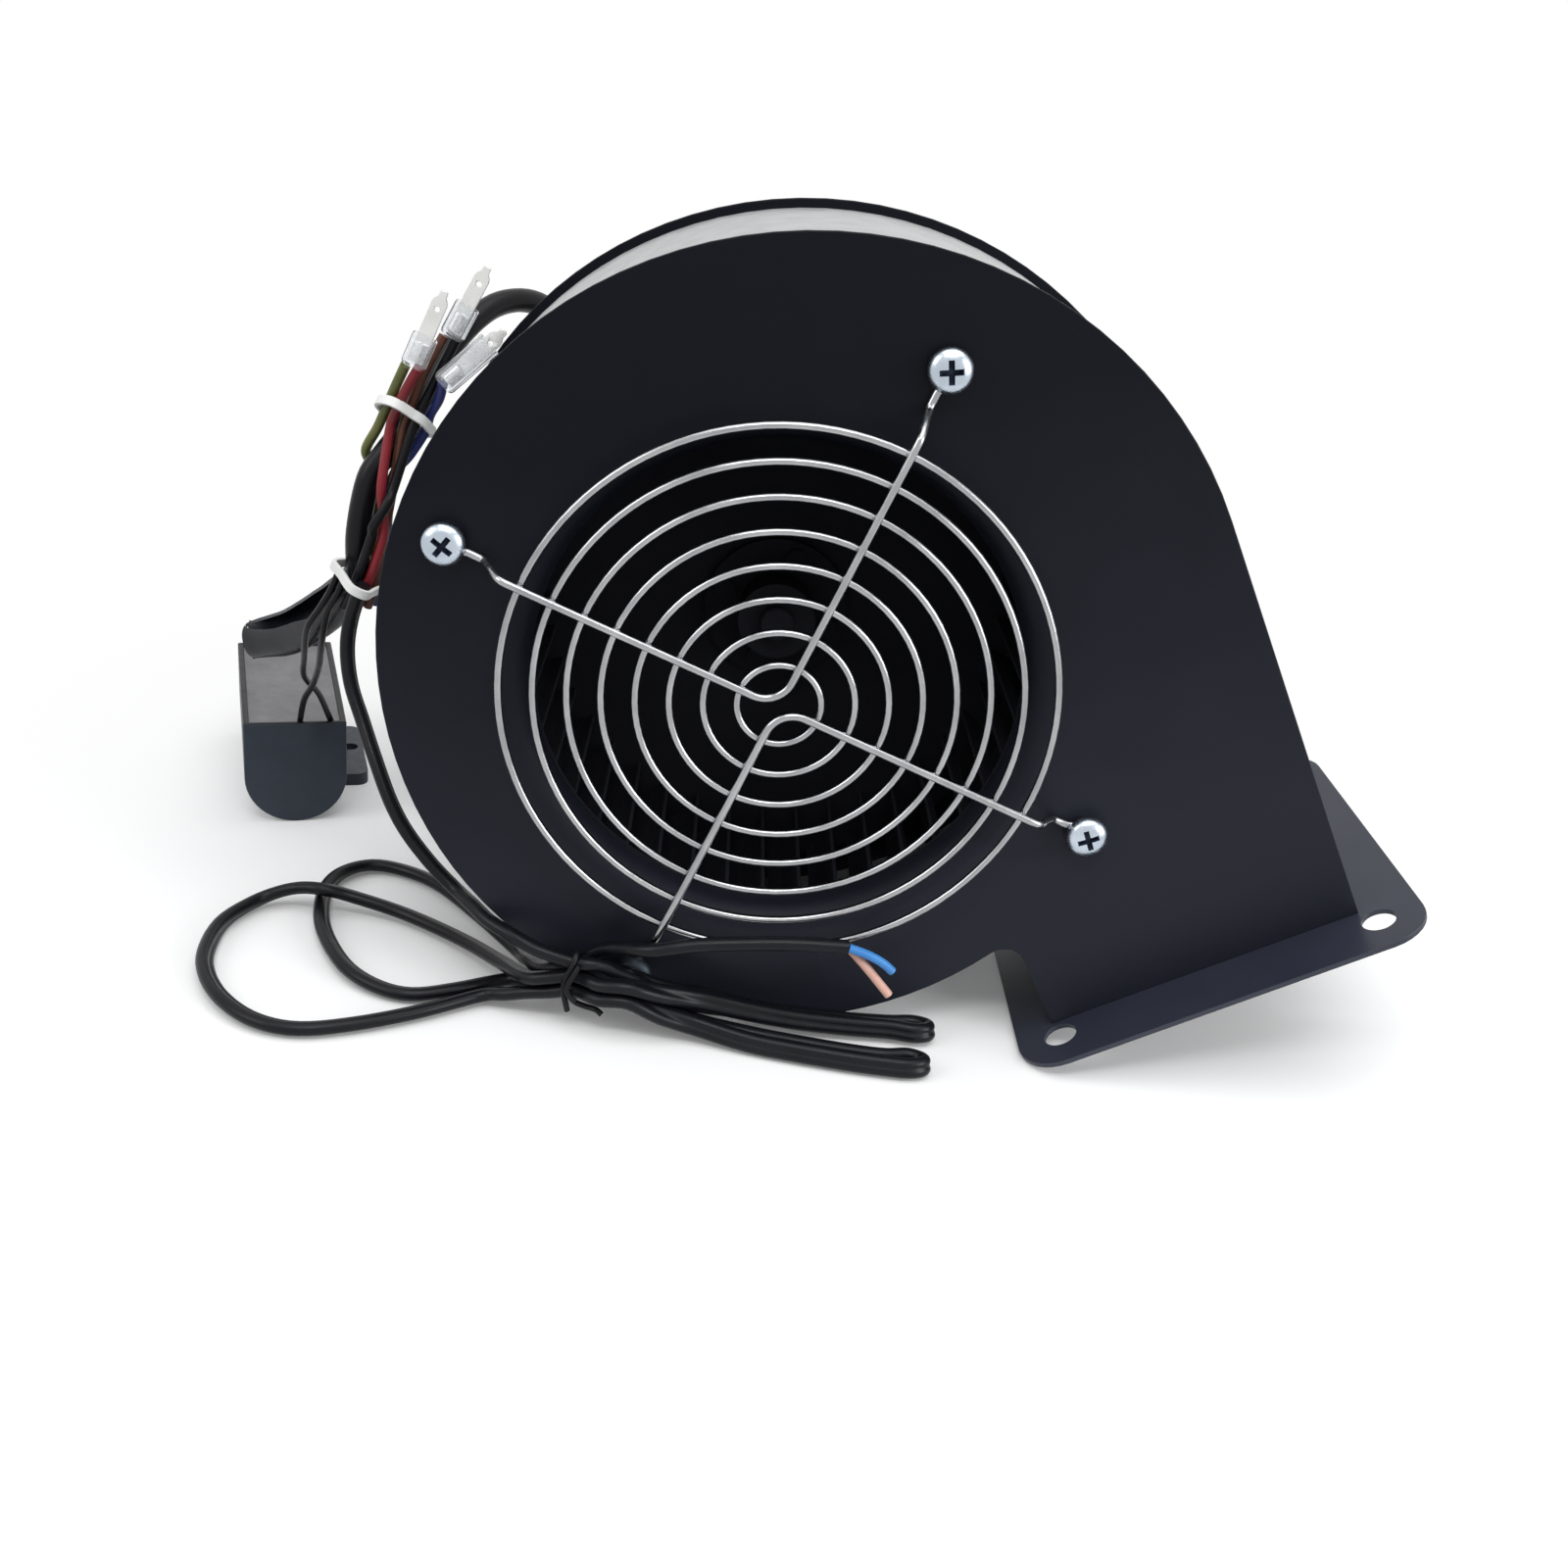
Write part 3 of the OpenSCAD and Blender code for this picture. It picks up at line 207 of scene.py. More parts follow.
# Lighter rim faces of the outer sleeve: partly the cut PVC edge's own tone, partly a painted highlight along the rim.
cut_edge_and_highlight = plastic("cut_edge_and_highlight", (0.050, 0.054, 0.064), (0.080, 0.085, 0.096), 0.34, 0.4)
rubber = plastic("grommet_rubber", (0.010, 0.010, 0.011), (0.016, 0.016, 0.017), 0.62, 0.2)
white_nylon = plastic("white_nylon", (0.78, 0.79, 0.77), (0.88, 0.89, 0.88), 0.36, 0.45)
earth_pvc = plastic("earth_pvc", (0.095, 0.115, 0.030), (0.160, 0.168, 0.046), 0.4)
red_pvc = plastic("red_pvc", (0.17, 0.010, 0.016), (0.26, 0.018, 0.026), 0.36)
brown_pvc = plastic("brown_pvc", (0.075, 0.026, 0.014), (0.11, 0.040, 0.022), 0.4)
blue_pvc = plastic("blue_pvc", (0.014, 0.022, 0.13), (0.024, 0.036, 0.19), 0.38)
light_blue_pvc = plastic("light_blue_pvc", (0.030, 0.17, 0.46), (0.050, 0.22, 0.54), 0.38)
pink_brown_pvc = plastic("pink_brown_pvc", (0.50, 0.27, 0.21), (0.64, 0.40, 0.33), 0.42)
tinned_brass = metal("tinned_brass", (0.66, 0.66, 0.64), (0.80, 0.80, 0.79), 0.26, 900)
clear_sleeve = clear_sleeve_finish()
capacitor_shell = plastic("capacitor_shell", (0.022, 0.030, 0.043), (0.031, 0.041, 0.057), 0.42, 0.3)
epoxy = plastic("epoxy", (0.118, 0.116, 0.124), (0.168, 0.165, 0.174), 0.46, 0.4)
bare_copper = metal("bare_copper", (0.55, 0.25, 0.12), (0.70, 0.36, 0.20), 0.3, 1200)


# Hand tools
def alone(obj):
    bpy.ops.object.select_all(action="DESELECT")
    obj.select_set(True)
    bpy.context.view_layer.objects.active = obj


def start(name, primitive, **how):
    """Adds a primitive and opens it for shaping."""
    bpy.ops.object.select_all(action="DESELECT")
    primitive(**how)
    obj = bpy.context.object
    obj.name = obj.data.name = name
    bpy.ops.object.transform_apply(location=True, rotation=True, scale=True)
    bpy.ops.object.mode_set(mode="EDIT")
    bpy.ops.mesh.select_mode(type="VERT")
    take_all()
    return obj


def done():
    bpy.ops.object.mode_set(mode="OBJECT")


def take_all():
    bpy.ops.mesh.select_all(action="SELECT")


def choose(obj, kind, test):
    """Selects the points, edges or faces whose middle passes the test."""
    bpy.ops.mesh.select_mode(type=kind)
    bpy.ops.mesh.select_all(action="DESELECT")
    bm = bmesh.from_edit_mesh(obj.data)
    for item in {"VERT": bm.verts, "EDGE": bm.edges, "FACE": bm.faces}[kind]:
        at = item.co if kind == "VERT" else sum((v.co for v in item.verts), Vector()) / len(item.verts)
        if test(at, item):
            item.select_set(True)
    bmesh.update_edit_mesh(obj.data)


def push(step):
    bpy.ops.mesh.extrude_region_move(TRANSFORM_OT_translate={"value": step})


def turn_out(centre, degrees, steps):
    """Turns the selection about an axis along Y."""
    bpy.ops.mesh.spin(steps=steps, angle=math.radians(degrees), center=centre, axis=(0, 1, 0))


def outwards():
    take_all()
    bpy.ops.mesh.normals_make_consistent(inside=False)


def face_towards(obj, way):
    """Makes the normals agree and point the given way on the whole."""
    outwards()
    bm = bmesh.from_edit_mesh(obj.data)
    if sum((f.normal * f.calc_area() for f in bm.faces), Vector()).dot(Vector(way)) < 0:
        bpy.ops.mesh.flip_normals()


def weld():
    """Joins the points that meet after a full turn."""
    take_all()
    bpy.ops.mesh.remove_doubles(threshold=0.00001)
    outwards()


def hole(radius, at, sides, flat=False):
    """Draws a circle, upright or flat, that the fill leaves open."""
    bpy.ops.mesh.primitive_circle_add(vertices=sides, radius=radius * MM, location=Vector(at) * MM,
                                      rotation=(0 if flat else math.pi / 2, 0, 0))


def fill_in():
    take_all()
    bpy.ops.mesh.fill(use_beauty=True)


def modify(obj, kind, **how):
    alone(obj)
    modifier = obj.modifiers.new(kind.lower(), kind)
    for key, value in how.items():
        setattr(modifier, key, value)
    bpy.ops.object.modifier_apply(modifier=modifier.name)


def thicken(obj, t):
    modify(obj, "SOLIDIFY", thickness=t, offset=-1, use_even_offset=True)


def soften(obj, width, segments=2):
    modify(obj, "BEVEL", width=width, segments=segments, limit_method="ANGLE", angle_limit=math.radians(40))


def as_sheet(obj, thickness, edge):
    """Closes a drawing, gives it its thickness and breaks its edges."""
    done()
    thicken(obj, thickness)
    soften(obj, edge)


def smooth(obj, angle):
    alone(obj)
    bpy.ops.object.shade_smooth_by_angle(angle=math.radians(angle))
    modify(obj, "WEIGHTED_NORMAL", keep_sharp=True)


def place(obj, matrix):
    obj.matrix_world = matrix
    alone(obj)
    bpy.ops.object.transform_apply(location=True, rotation=True, scale=True)


def seat(at, degrees, axis="Y"):
    return Matrix.Translation(Vector(at) * MM) @ Matrix.Rotation(math.radians(degrees), 4, axis)


def copy_of(obj, name):
    twin = obj.copy()
    twin.data = obj.data.copy()
    twin.name = twin.data.name = name
    scene.collection.objects.link(twin)
    return twin


def joined(objects, name):
    bpy.ops.object.select_all(action="DESELECT")
    for obj in objects:
        obj.select_set(True)
    bpy.context.view_layer.objects.active = objects[0]
    bpy.ops.object.join()
    obj = bpy.context.object
    obj.name = obj.data.name = name
    return obj


def drawn_loop(name, places):
    """A closed line through set places, started from a circle."""
    obj = start(name, bpy.ops.mesh.primitive_circle_add, vertices=len(places), radius=0.01)
    bm = bmesh.from_edit_mesh(obj.data)
    for v, q in zip(bm.verts, places):
        v.co = q
    bmesh.update_edit_mesh(obj.data)
    return obj


def drawn_tube(name, rings):
    """A tube drawn ring by ring, each one extruded from the last."""
    obj = drawn_loop(name, rings[0])
    last = list(range(len(rings[0])))
    for ring in rings[1:]:
        push((0, 0, 0))
        bm = bmesh.from_edit_mesh(obj.data)
        bm.verts.ensure_lookup_table()
        bm.verts.index_update()
        fresh = []
        for i, q in zip(last, ring):
            near = [e.other_vert(bm.verts[i]) for e in bm.verts[i].link_edges]
            new = next(v for v in near if v.select)
            new.co = q
            fresh.append(new.index)
        last = fresh
        bmesh.update_edit_mesh(obj.data)
    return obj


def second_finish(obj, material, test):
    """Gives the faces that pass the test a second finish."""
    obj.data.materials.append(material)
    for face in obj.data.polygons:
        if test(face.center):
            face.material_index = len(obj.data.materials) - 1


def wear(obj, material, slot, node):
    """Gives a piece its finish and its place in the assembly."""
    obj.data.materials.clear()
    obj.data.materials.append(material)
    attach(obj, "casing")
    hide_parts(node)
    return obj


# Wiring
WIRE_STEPS, CORD_STEPS = 6, 5
SLEEVE_D, LEAD_D, FILL_D, CORE_D, CORD_D = 5.5 * MM, 2.2 * MM, 1.6 * MM, 2 * MM, 4.6 * MM
FLAT_WAY, EDGE_WAY = Vector((0.06, 0.9, -0.42)), Vector((-0.09, 0.42, 0.9))
LOOPS_BELOW, LOOPS_START, LOOPS_TURN = 0.0175, 0.062, 0.018


def eased(points, steps):
    """A smooth line through given points in millimetres."""
    p = [Vector(q) * MM for q in points]
    line = []
    for i in range(len(p) - 1):
        a, b, c, d = p[max(i - 1, 0)], p[i], p[i + 1], p[min(i + 2, len(p) - 1)]
        for s in range(steps):
            t = s / steps
            line.append(0.5 * (2 * b + (c - a) * t + (2 * a - 5 * b + 4 * c - d) * t * t
                               + (3 * b - a - 3 * c + d) * t ** 3))
    return line + [p[-1]]


def strand(name, line, diameter=0, section=None):
    """A curve along a line, round or with a drawn section."""
    curve = bpy.data.curves.new(name, "CURVE")
    curve.dimensions = "3D"
    spline = curve.splines.new("POLY")
    spline.points.add(len(line) - 1)
    for point, q in zip(spline.points, line):
        point.co = (*q, 1)
    spline.use_smooth = True
    if section:
        curve.bevel_mode = "OBJECT"
        curve.bevel_object = section
    else:
        curve.bevel_depth = diameter / 2
        curve.bevel_resolution = 5
    curve.use_fill_caps = True
    obj = bpy.data.objects.new(name, curve)
    scene.collection.objects.link(obj)
    return obj


def as_mesh(obj):
    alone(obj)
    bpy.ops.object.convert(target="MESH")
    obj = bpy.context.object
    obj.data.name = obj.name
    return obj


def wide_way(at):
    """Direction of the flat cord's wide side: flat to the left of the tie, on edge in the loops at the right."""
    over = 0 if at.z > LOOPS_BELOW else min(max((at.x + LOOPS_START) / LOOPS_TURN, 0), 1)
    turn = over * math.pi / 2
    return FLAT_WAY * math.cos(turn) + EDGE_WAY * math.sin(turn)


def turned_flat(obj):
    """Turns a flat cord's section so that its wide side follows its set direction all along."""
    points = obj.data.splines[0].points
    per = len(obj.data.bevel_object.data.splines[0].points)
    bpy.context.view_layer.update()
    drawn = obj.evaluated_get(bpy.context.evaluated_depsgraph_get())
    rings = [v.co.copy() for v in drawn.to_mesh().vertices]
    drawn.to_mesh_clear()
    last = 0.0
    for i, point in enumerate(points):
        before, after = points[max(i - 1, 0)].co.xyz, points[min(i + 1, len(points) - 1)].co.xyz
        along = (after - before).normalized()
        now = rings[i * per] - rings[i * per + per // 2]
        now -= along * now.dot(along)
        wide = wide_way(point.co.xyz)
        want = wide - along * wide.dot(along)
        angle = math.atan2(now.cross(want).dot(along), now.dot(want))
        angle -= math.pi * round((angle - last) / math.pi)
        last = angle
        point.tilt = angle


sleeve_route = [(-62.6, 55, 106.7), (-71, 55, 115), (-79.5, 52.5, 125), (-87.5, 45, 134.5), (-95, 35, 140.5),
                (-102.5, 24.5, 140.5), (-109, 13.5, 134.5), (-113.5, 4, 126), (-117.8, -1.8, 116.5), (-121.4, -4, 111),
                (-124.9, -5.8, 105), (-127.1, -6.4, 93), (-127.4, -5, 84), (-127.2, -4.9, 80.2)]
lead_routes = {
    "earth": [(-124.3, -1.7, 75.5), (-124.2, -2.2, 82), (-124.2, -2.2, 93), (-124.2, -1.4, 104), (-125.8, -1, 108),
              (-126.2, -2.2, 111), (-123.2, -4.7, 116.5), (-121.4, -5.8, 120.5), (-118.6, -9.4, 126.5),
              (-115.8, -11.9, 132.4)],
    "red": [(-127.4, -7.7, 75.5), (-124.3, -9.7, 82), (-121, -9.7, 93), (-121.1, -9.2, 99), (-121.2, -10, 105),
            (-120, -7.5, 116.5), (-118.9, -8, 120.5), (-116, -11, 126.5), (-112.8, -12.1, 132.4)],
    "brown": [(-125, -6.5, 75.5), (-122.9, -7.4, 82), (-121.2, -7.1, 93), (-119.2, -6.6, 105), (-118.3, -6.8, 111),
              (-117.4, -6.7, 116.5), (-116.3, -6.8, 120.5), (-112.8, -7.2, 130), (-108.8, -6.2, 138.2)],
    "black": [(-130.2, -7.6, 75.5), (-127, -10.3, 82), (-123.4, -10.6, 93), (-122.7, -11.9, 96), (-121, -12.2, 99),
              (-119.4, -11.5, 102), (-118.4, -9.6, 105.5), (-115.3, -8.4, 116.5), (-114, -7.6, 120.5),
              (-109.8, -6.2, 130), (-105.9, -5.8, 138.2)],
    "blue": [(-123.9, -4.2, 75.5), (-122.6, -4.9, 82), (-121.2, -4.2, 93), (-120.2, -3.6, 105), (-116.2, -3.4, 111),
             (-113, -3.7, 116.5), (-111.8, -4.6, 120.5), (-109.4, -7.6, 124.8), (-108.2, -10, 128.8)]}
fill_routes = {
    "left": [(-129.3, -9.6, 83.5), (-131, -9.8, 79), (-133.6, -8.6, 74), (-135.5, -6, 66.5), (-138.5, 3, 56),
             (-142.5, 13, 47), (-147.5, 24, 38), (-151, 33, 28)],
    "right": [(-131.2, -7.8, 83.5), (-133, -8, 79), (-135.8, -6.6, 74), (-139.6, -3.6, 67.5), (-142.5, 5, 57),
              (-145, 15, 48), (-144.2, 26, 39), (-143.5, 35, 28)]}
cord_route = [
    (-124.6, -13.6, 83), (-127, -13.4, 75.5), (-127.8, -14.5, 68), (-126.4, -17.2, 60.5), (-123, -21, 53.4),
    (-119.1, -26, 46.4), (-114.6, -31, 38.6), (-110.2, -34, 32.6), (-104, -37, 26.6), (-98, -40, 22.4),
    (-93.3, -45.6, 21.8), (-89, -50.2, 20.9), (-83.4, -54, 20), (-77.4, -56.2, 18.2), (-70, -56.6, 16.3),
    (-66, -57.2, 16.3), (-63, -56.6, 15.6), (-57, -56.4, 13.6), (-51.5, -56.1, 11.2), (-46, -54.4, 9),
    (-42, -52.9, 7.7), (-30, -52, 4.9), (-19.5, -51.2, 3.4), (-8, -50.4, 2.6), (2, -49.8, 2.4), (6.8, -49.2, 2.5),
    (9.8, -50, 2.7), (11, -51.7, 3), (9.8, -53.4, 3.3), (6.8, -54, 3.4), (2, -53.4, 3.5), (-8, -53.7, 3.7),
    (-19.5, -54.4, 4.6), (-30, -55.2, 6.3), (-42, -56.2, 8.9), (-50, -59.6, 11.8), (-57, -61.4, 14),
    (-63, -60.4, 13.1), (-67, -57.6, 12.8), (-70, -56.6, 12.7), (-75, -56.4, 11.6), (-80, -54.2, 9.9),
    (-86.5, -43.6, 6.4), (-98, -30, 3.6), (-113, -19.5, 3), (-126, -16.8, 5), (-133.5, -17.6, 6.9),
    (-141, -15.6, 5.2), (-148.5, -17.6, 2.6), (-153.6, -28.8, 2.5), (-153.6, -42.2, 2.5), (-150.4, -52.4, 2.5),
    (-144.2, -61.5, 2.4), (-135.6, -68, 2.2), (-126, -69.6, 2), (-114.4, -65.8, 2), (-102, -59.2, 2.1),
    (-90.2, -51.6, 2.5), (-84.5, -52.8, 4.2), (-79.5, -54.2, 6), (-73.5, -56.1, 8), (-70, -56.6, 9.2),
    (-67, -58, 9.4), (-63, -61, 9.8), (-57, -61.5, 10.4), (-50, -60.8, 7.2), (-42, -60, 4.6), (-30, -62.5, 3),
    (-19.5, -64.6, 2.9), (-8, -66.4, 2.9), (0, -67.2, 2.9), (4.8, -67.4, 2.9), (7.6, -66.6, 2.8), (8.8, -65, 2.6),
    (7.6, -63.4, 2.4), (4.8, -62.7, 2.4), (0, -63.5, 2.4), (-8, -62.9, 2.4), (-19.5, -61.1, 2.4), (-30, -59, 2.4),
    (-42, -56.6, 3.1), (-50, -56.6, 6.2), (-57, -56.5, 9.9), (-62.2, -56, 9.1), (-66.5, -52.7, 8.3), (-70, -52, 9),
    (-74, -51.2, 7.4), (-77.5, -48.4, 5.2), (-80.5, -46, 3.9), (-86, -43.6, 2.1), (-96.2, -49.3, 2.1),
    (-105.4, -52.7, 2), (-113.4, -50.8, 2.1), (-121.3, -44.7, 2.4), (-128.2, -33.7, 2.5), (-132.4, -22.8, 2.5),
    (-134.4, -9.7, 2.5), (-132.3, -0.4, 2.5), (-126.3, 5.2, 2.2), (-117.4, 3.9, 2), (-107.6, -2.7, 2.2),
    (-95.7, -16.6, 2.4), (-84, -33, 3.4), (-80.5, -42.6, 7.2), (-77.5, -49, 9.4), (-74, -51.8, 11.4),
    (-70, -52, 12.6), (-67, -52.4, 15), (-64.5, -52.8, 17.2), (-60, -55.4, 20), (-53, -60.4, 23),
    (-43.5, -60.8, 25.4), (-33, -60.6, 26.7), (-22.4, -60.4, 27.6), (-10.8, -60.4, 27.9)]
core_routes = {
    "blue": [(-10.8, -61.5, 28.3), (-6.4, -61.2, 26.8), (-3, -61, 25), (-0.6, -60.8, 23)],
    "brown": [(-10.8, -59.4, 27.4), (-6.6, -60, 23.4), (-3.4, -60.4, 20), (-0.6, -60.8, 17)]}


def hanging_wire(name, route, diameter, finish, slot, node):
    """A round wire that hangs between two places on the object."""
    line = eased(route, WIRE_STEPS)
    obj = wear(strand(name, line, diameter), finish, slot, node)


def twin_section():
    """Section of the flat twin cord: two round cores under one skin, with a groove between."""
    core_at, core_r, edge = 0.8, 1.5, 2.3
    quarter = [(0.0, 1.28), (0.45, 1.42), (core_at, core_r)]
    quarter += [(core_at + core_r * math.cos(a), core_r * math.sin(a)) for a in (1.2, 0.8, 0.4)]
    ring = quarter + [(edge, 0.0)] + [(x, -y) for x, y in reversed(quarter)]
    ring += [(-x, -y) for x, y in quarter[1:]] + [(-edge, 0.0)] + [(-x, y) for x, y in reversed(quarter[1:])]
    first = ring.index((edge, 0.0))
    ring = ring[first:] + ring[:first]
    curve = bpy.data.curves.new("twin_section", "CURVE")
    curve.dimensions = "2D"
    spline = curve.splines.new("POLY")
    spline.points.add(len(ring) - 1)
    for point, (x, y) in zip(spline.points, ring):
        point.co = (x * MM, y * MM, 0, 1)
    spline.use_cyclic_u = True
    spline.use_smooth = True
    obj = bpy.data.objects.new("twin_section", curve)
    scene.collection.objects.link(obj)
    return obj


def power_cord(line):
    section = twin_section()
    obj = strand("flat_power_cord", line, section=section)
    turned_flat(obj)
    obj = as_mesh(obj)
    bpy.data.objects.remove(section)
    return wear(obj, cord_pvc, "black_pvc", "power_cord")


def core_end(colour, finish, slot):
    """A core at the cord's free end, its copper showing in the cut insulation."""
    wall, cut_back, gap, copper_out, copper_r = 0.34 * MM, 0.5, 0.06 * MM, 0.75, 0.62 * MM
    line = eased(core_routes[colour], WIRE_STEPS)
    tip, along = line[-1], (line[-1] - line[-2]).normalized()
    obj = as_mesh(strand(colour + "_core_end", line, CORE_D))
    bpy.ops.object.mode_set(mode="EDIT")
    choose(obj, "FACE", lambda at, face: (at - tip).length < 1e-5)
    bpy.ops.mesh.inset(thickness=wall)
    push(along * -cut_back * MM)
    bpy.ops.mesh.inset(thickness=gap)
    push(along * copper_out * MM)
    done()
    smooth(obj, 40)
    wear(obj, finish, slot, "core_" + colour)

    def in_copper(at):
        ahead = (at - tip).dot(along)
        return ahead > -0.4 * MM and (at - tip - along * ahead).length < copper_r

    second_finish(obj, bare_copper, in_copper)
    return obj


def twist_tie():
    """A dark wire tie round the cord, its two short ends left hanging."""
    wire = eased([(-70.2, -60.1, 5.9), (-70.7, -60.3, 8.2), (-71.3, -60, 11), (-70.9, -59.8, 13.6),
                  (-69.7, -59.7, 16.6), (-69, -57.8, 19), (-69.1, -54.6, 17.9), (-69.7, -51, 15.4), (-70, -49, 12),
                  (-70.2, -49.2, 8), (-70.2, -51.6, 6.2), (-70, -55, 6.2), (-68.8, -57, 6.2), (-66.6, -58.6, 6.4),
                  (-64, -60, 6.6), (-62.6, -60.6, 5.8)], 5)
    knot = eased([(-68.2, -60, 17.2), (-69.2, -60.9, 15.2), (-70.4, -61.2, 12.6), (-70, -61.3, 10.6),
                  (-68.6, -60.9, 9)], 5)
    obj = joined([as_mesh(strand("twist_tie_wire", wire, 1.3 * MM)),
                  as_mesh(strand("twist_tie_knot", knot, 1.2 * MM))], "cord_twist_tie")
    smooth(obj, 60)
    return wear(obj, black_pvc, "black_pvc", "cord_tie")


hanging_wire("motor_sleeve_cable", sleeve_route, SLEEVE_D, black_pvc, "black_pvc", "motor_sleeve")
for colour, finish in (("earth", earth_pvc), ("red", red_pvc), ("brown", brown_pvc), ("black", black_pvc),
                       ("blue", blue_pvc)):
    hanging_wire(colour + "_lead", lead_routes[colour], LEAD_D, finish, colour + "_pvc", "lead_" + colour)
for side, route in fill_routes.items():
    hanging_wire("capacitor_wire_" + side, route, FILL_D, black_pvc, "black_pvc", "capacitor_lead_" + side)
cord_line = eased(cord_route, CORD_STEPS)
cord = power_cord(cord_line)
cores = [core_end("blue", light_blue_pvc, "light_blue_pvc"), core_end("brown", pink_brown_pvc, "brown_pvc")]
cores + [twist_tie()]


# Casing, in millimetres in the fan's own frame, with its axis along Y and the outlet straight down
STAND = Matrix.Translation((-0.031209, -0.0485, 0.08036)) @ Matrix.Rotation(math.radians(-29.2242), 4, "Y")
ARC_LEFT, ARC_TOP, ARC_RIGHT = Vector((-1.5, 0, 1)), Vector((6, 0, 1)), Vector((6, 0, -2.5))
SCROLL_R, NECK_LEFT, NECK_RIGHT, DROP, TONGUE_R = 80.5, 25.0, 97.5, 100.0, 5.0
TONGUE_X = NECK_LEFT - TONGUE_R
TONGUE = Vector((TONGUE_X, 0,
                 ARC_LEFT.z - math.sqrt((SCROLL_R + TONGUE_R) ** 2 - (TONGUE_X - ARC_LEFT.x) ** 2)))
TONGUE_TURN = 360 + math.degrees(math.atan2(TONGUE.z - ARC_LEFT.z, TONGUE.x - ARC_LEFT.x))
PLATE_T, PLATE_EDGE, PLATE_SMOOTH = 1.2 * MM, 0.22 * MM, 20
BAND_Y, BAND_WIDE, BAND_T = 1.2, 61.6, 1.0 * MM
REAR_Y = 64
INLET_R, LIP_R, LIP_STEPS, LIP_STRAIGHT = 58.0, 6, 8, 1.8
SCREW_CIRCLE, SCREW_TURN, SCREW_HOLE_R = 74, 40.5, 2.02
SHAFT_HOLE_R, MOTOR_CIRCLE, MOTOR_TURN, MOTOR_HOLE_R = 15.2, 28, 45, 2.2
FLANGE_MIDDLE, FLANGE_SIDE, FLANGE_CORNER = Vector((63.3, 32, -DROP)), 0.094, 10 * MM
FLANGE_HOLES, FLANGE_HOLE_R = [(x, y, -DROP) for x in (26.3, 100.3) for y in (-5, 69)], 3.75
OUTLET_MIDDLE, OUTLET_SIZE = Vector((61.25, 32, -DROP)), (0.0665, 0.0616, 1)


def scroll_outline(name, grow, depth, closed):
    """Draws the scroll's outline with straights and arcs, moved outwards by grow."""
    obj = start(name, bpy.ops.mesh.primitive_plane_add, size=0.01)
    bpy.ops.mesh.merge(type="CENTER")
    bpy.ops.transform.translate(value=mm(NECK_RIGHT + grow, depth, -DROP))
    push(mm(0, 0, DROP + ARC_RIGHT.z))
    lift = Vector((0, depth, 0))
    for centre, degrees, steps in ((ARC_RIGHT, 90, 24), (ARC_TOP, 90, 24), (ARC_LEFT, TONGUE_TURN - 180, 28),
                                   (TONGUE, 180 - TONGUE_TURN, 10)):
        turn_out((centre + lift) * MM, degrees, steps)
    push(mm(0, 0, -DROP - TONGUE.z))
    if closed:
        choose(obj, "VERT", lambda at, v: abs(at.z + DROP * MM) < 1e-5)
        bpy.ops.mesh.edge_face_add()
    return obj


def ring_places(circle_r, first):
    turns = [math.radians(first + 90 * k) for k in range(4)]
    return [(circle_r * math.cos(a), circle_r * math.sin(a)) for a in turns]


def stood(obj, angle, *finish):
    """Smooths a piece of the fan, stands it up and gives it its finish."""
    smooth(obj, angle)
    place(obj, STAND)
    wear(obj, *finish)


def front_plate():
    """Scroll-shaped plate with a bell-mouthed inlet."""
    obj = scroll_outline("front_plate_sheet", 0, 0, True)
    hole(INLET_R, (0, 0, 0), 96)
    for x, z in ring_places(SCREW_CIRCLE, SCREW_TURN):
        hole(SCREW_HOLE_R, (x, 0, z), 16)
    fill_in()
    choose(obj, "EDGE", lambda at, e: e.is_boundary and abs(math.hypot(at.x, at.z) - INLET_R * MM) < 0.2 * MM)
    r, y = INLET_R, 0.0
    for k in range(1, LIP_STEPS + 1):
        a = math.radians(90 * k / LIP_STEPS)
        r2, y2 = INLET_R - LIP_R * math.sin(a), LIP_R - LIP_R * math.cos(a)
        push(mm(0, y2 - y, 0))
        bpy.ops.transform.resize(value=(r2 / r, 1, r2 / r), center_override=(0, 0, 0))
        r, y = r2, y2
    push(mm(0, LIP_STRAIGHT, 0))
    face_towards(obj, (0, -1, 0))
    as_sheet(obj, PLATE_T, PLATE_EDGE)
    stood(obj, PLATE_SMOOTH, black_coat, "black_coat", "front_plate")


def scroll_band():
    """Sheet bent round the scroll between the two plates."""
    obj = scroll_outline("scroll_band_sheet", -2, BAND_Y, False)
    take_all()
    push(mm(0, BAND_WIDE, 0))
    outwards()
    faces = [(f.normal, f.calc_center_median()) for f in bmesh.from_edit_mesh(obj.data).faces]
    if sum(way.x * at.x + way.z * at.z for way, at in faces) < 0:
        bpy.ops.mesh.flip_normals()
    done()
    thicken(obj, BAND_T)
    stood(obj, 30, galvanised, "galvanised", "scroll_band")


def rear_plate():
    """Scroll-shaped plate with the holes of the motor."""
    obj = scroll_outline("rear_plate_sheet", 0, REAR_Y, True)
    hole(SHAFT_HOLE_R, (0, REAR_Y, 0), 48)
    for x, z in ring_places(MOTOR_CIRCLE, MOTOR_TURN):
        hole(MOTOR_HOLE_R, (x, REAR_Y, z), 16)
    fill_in()
    face_towards(obj, (0, 1, 0))
    as_sheet(obj, PLATE_T, PLATE_EDGE)
    stood(obj, PLATE_SMOOTH, black_coat, "black_coat", "rear_plate")


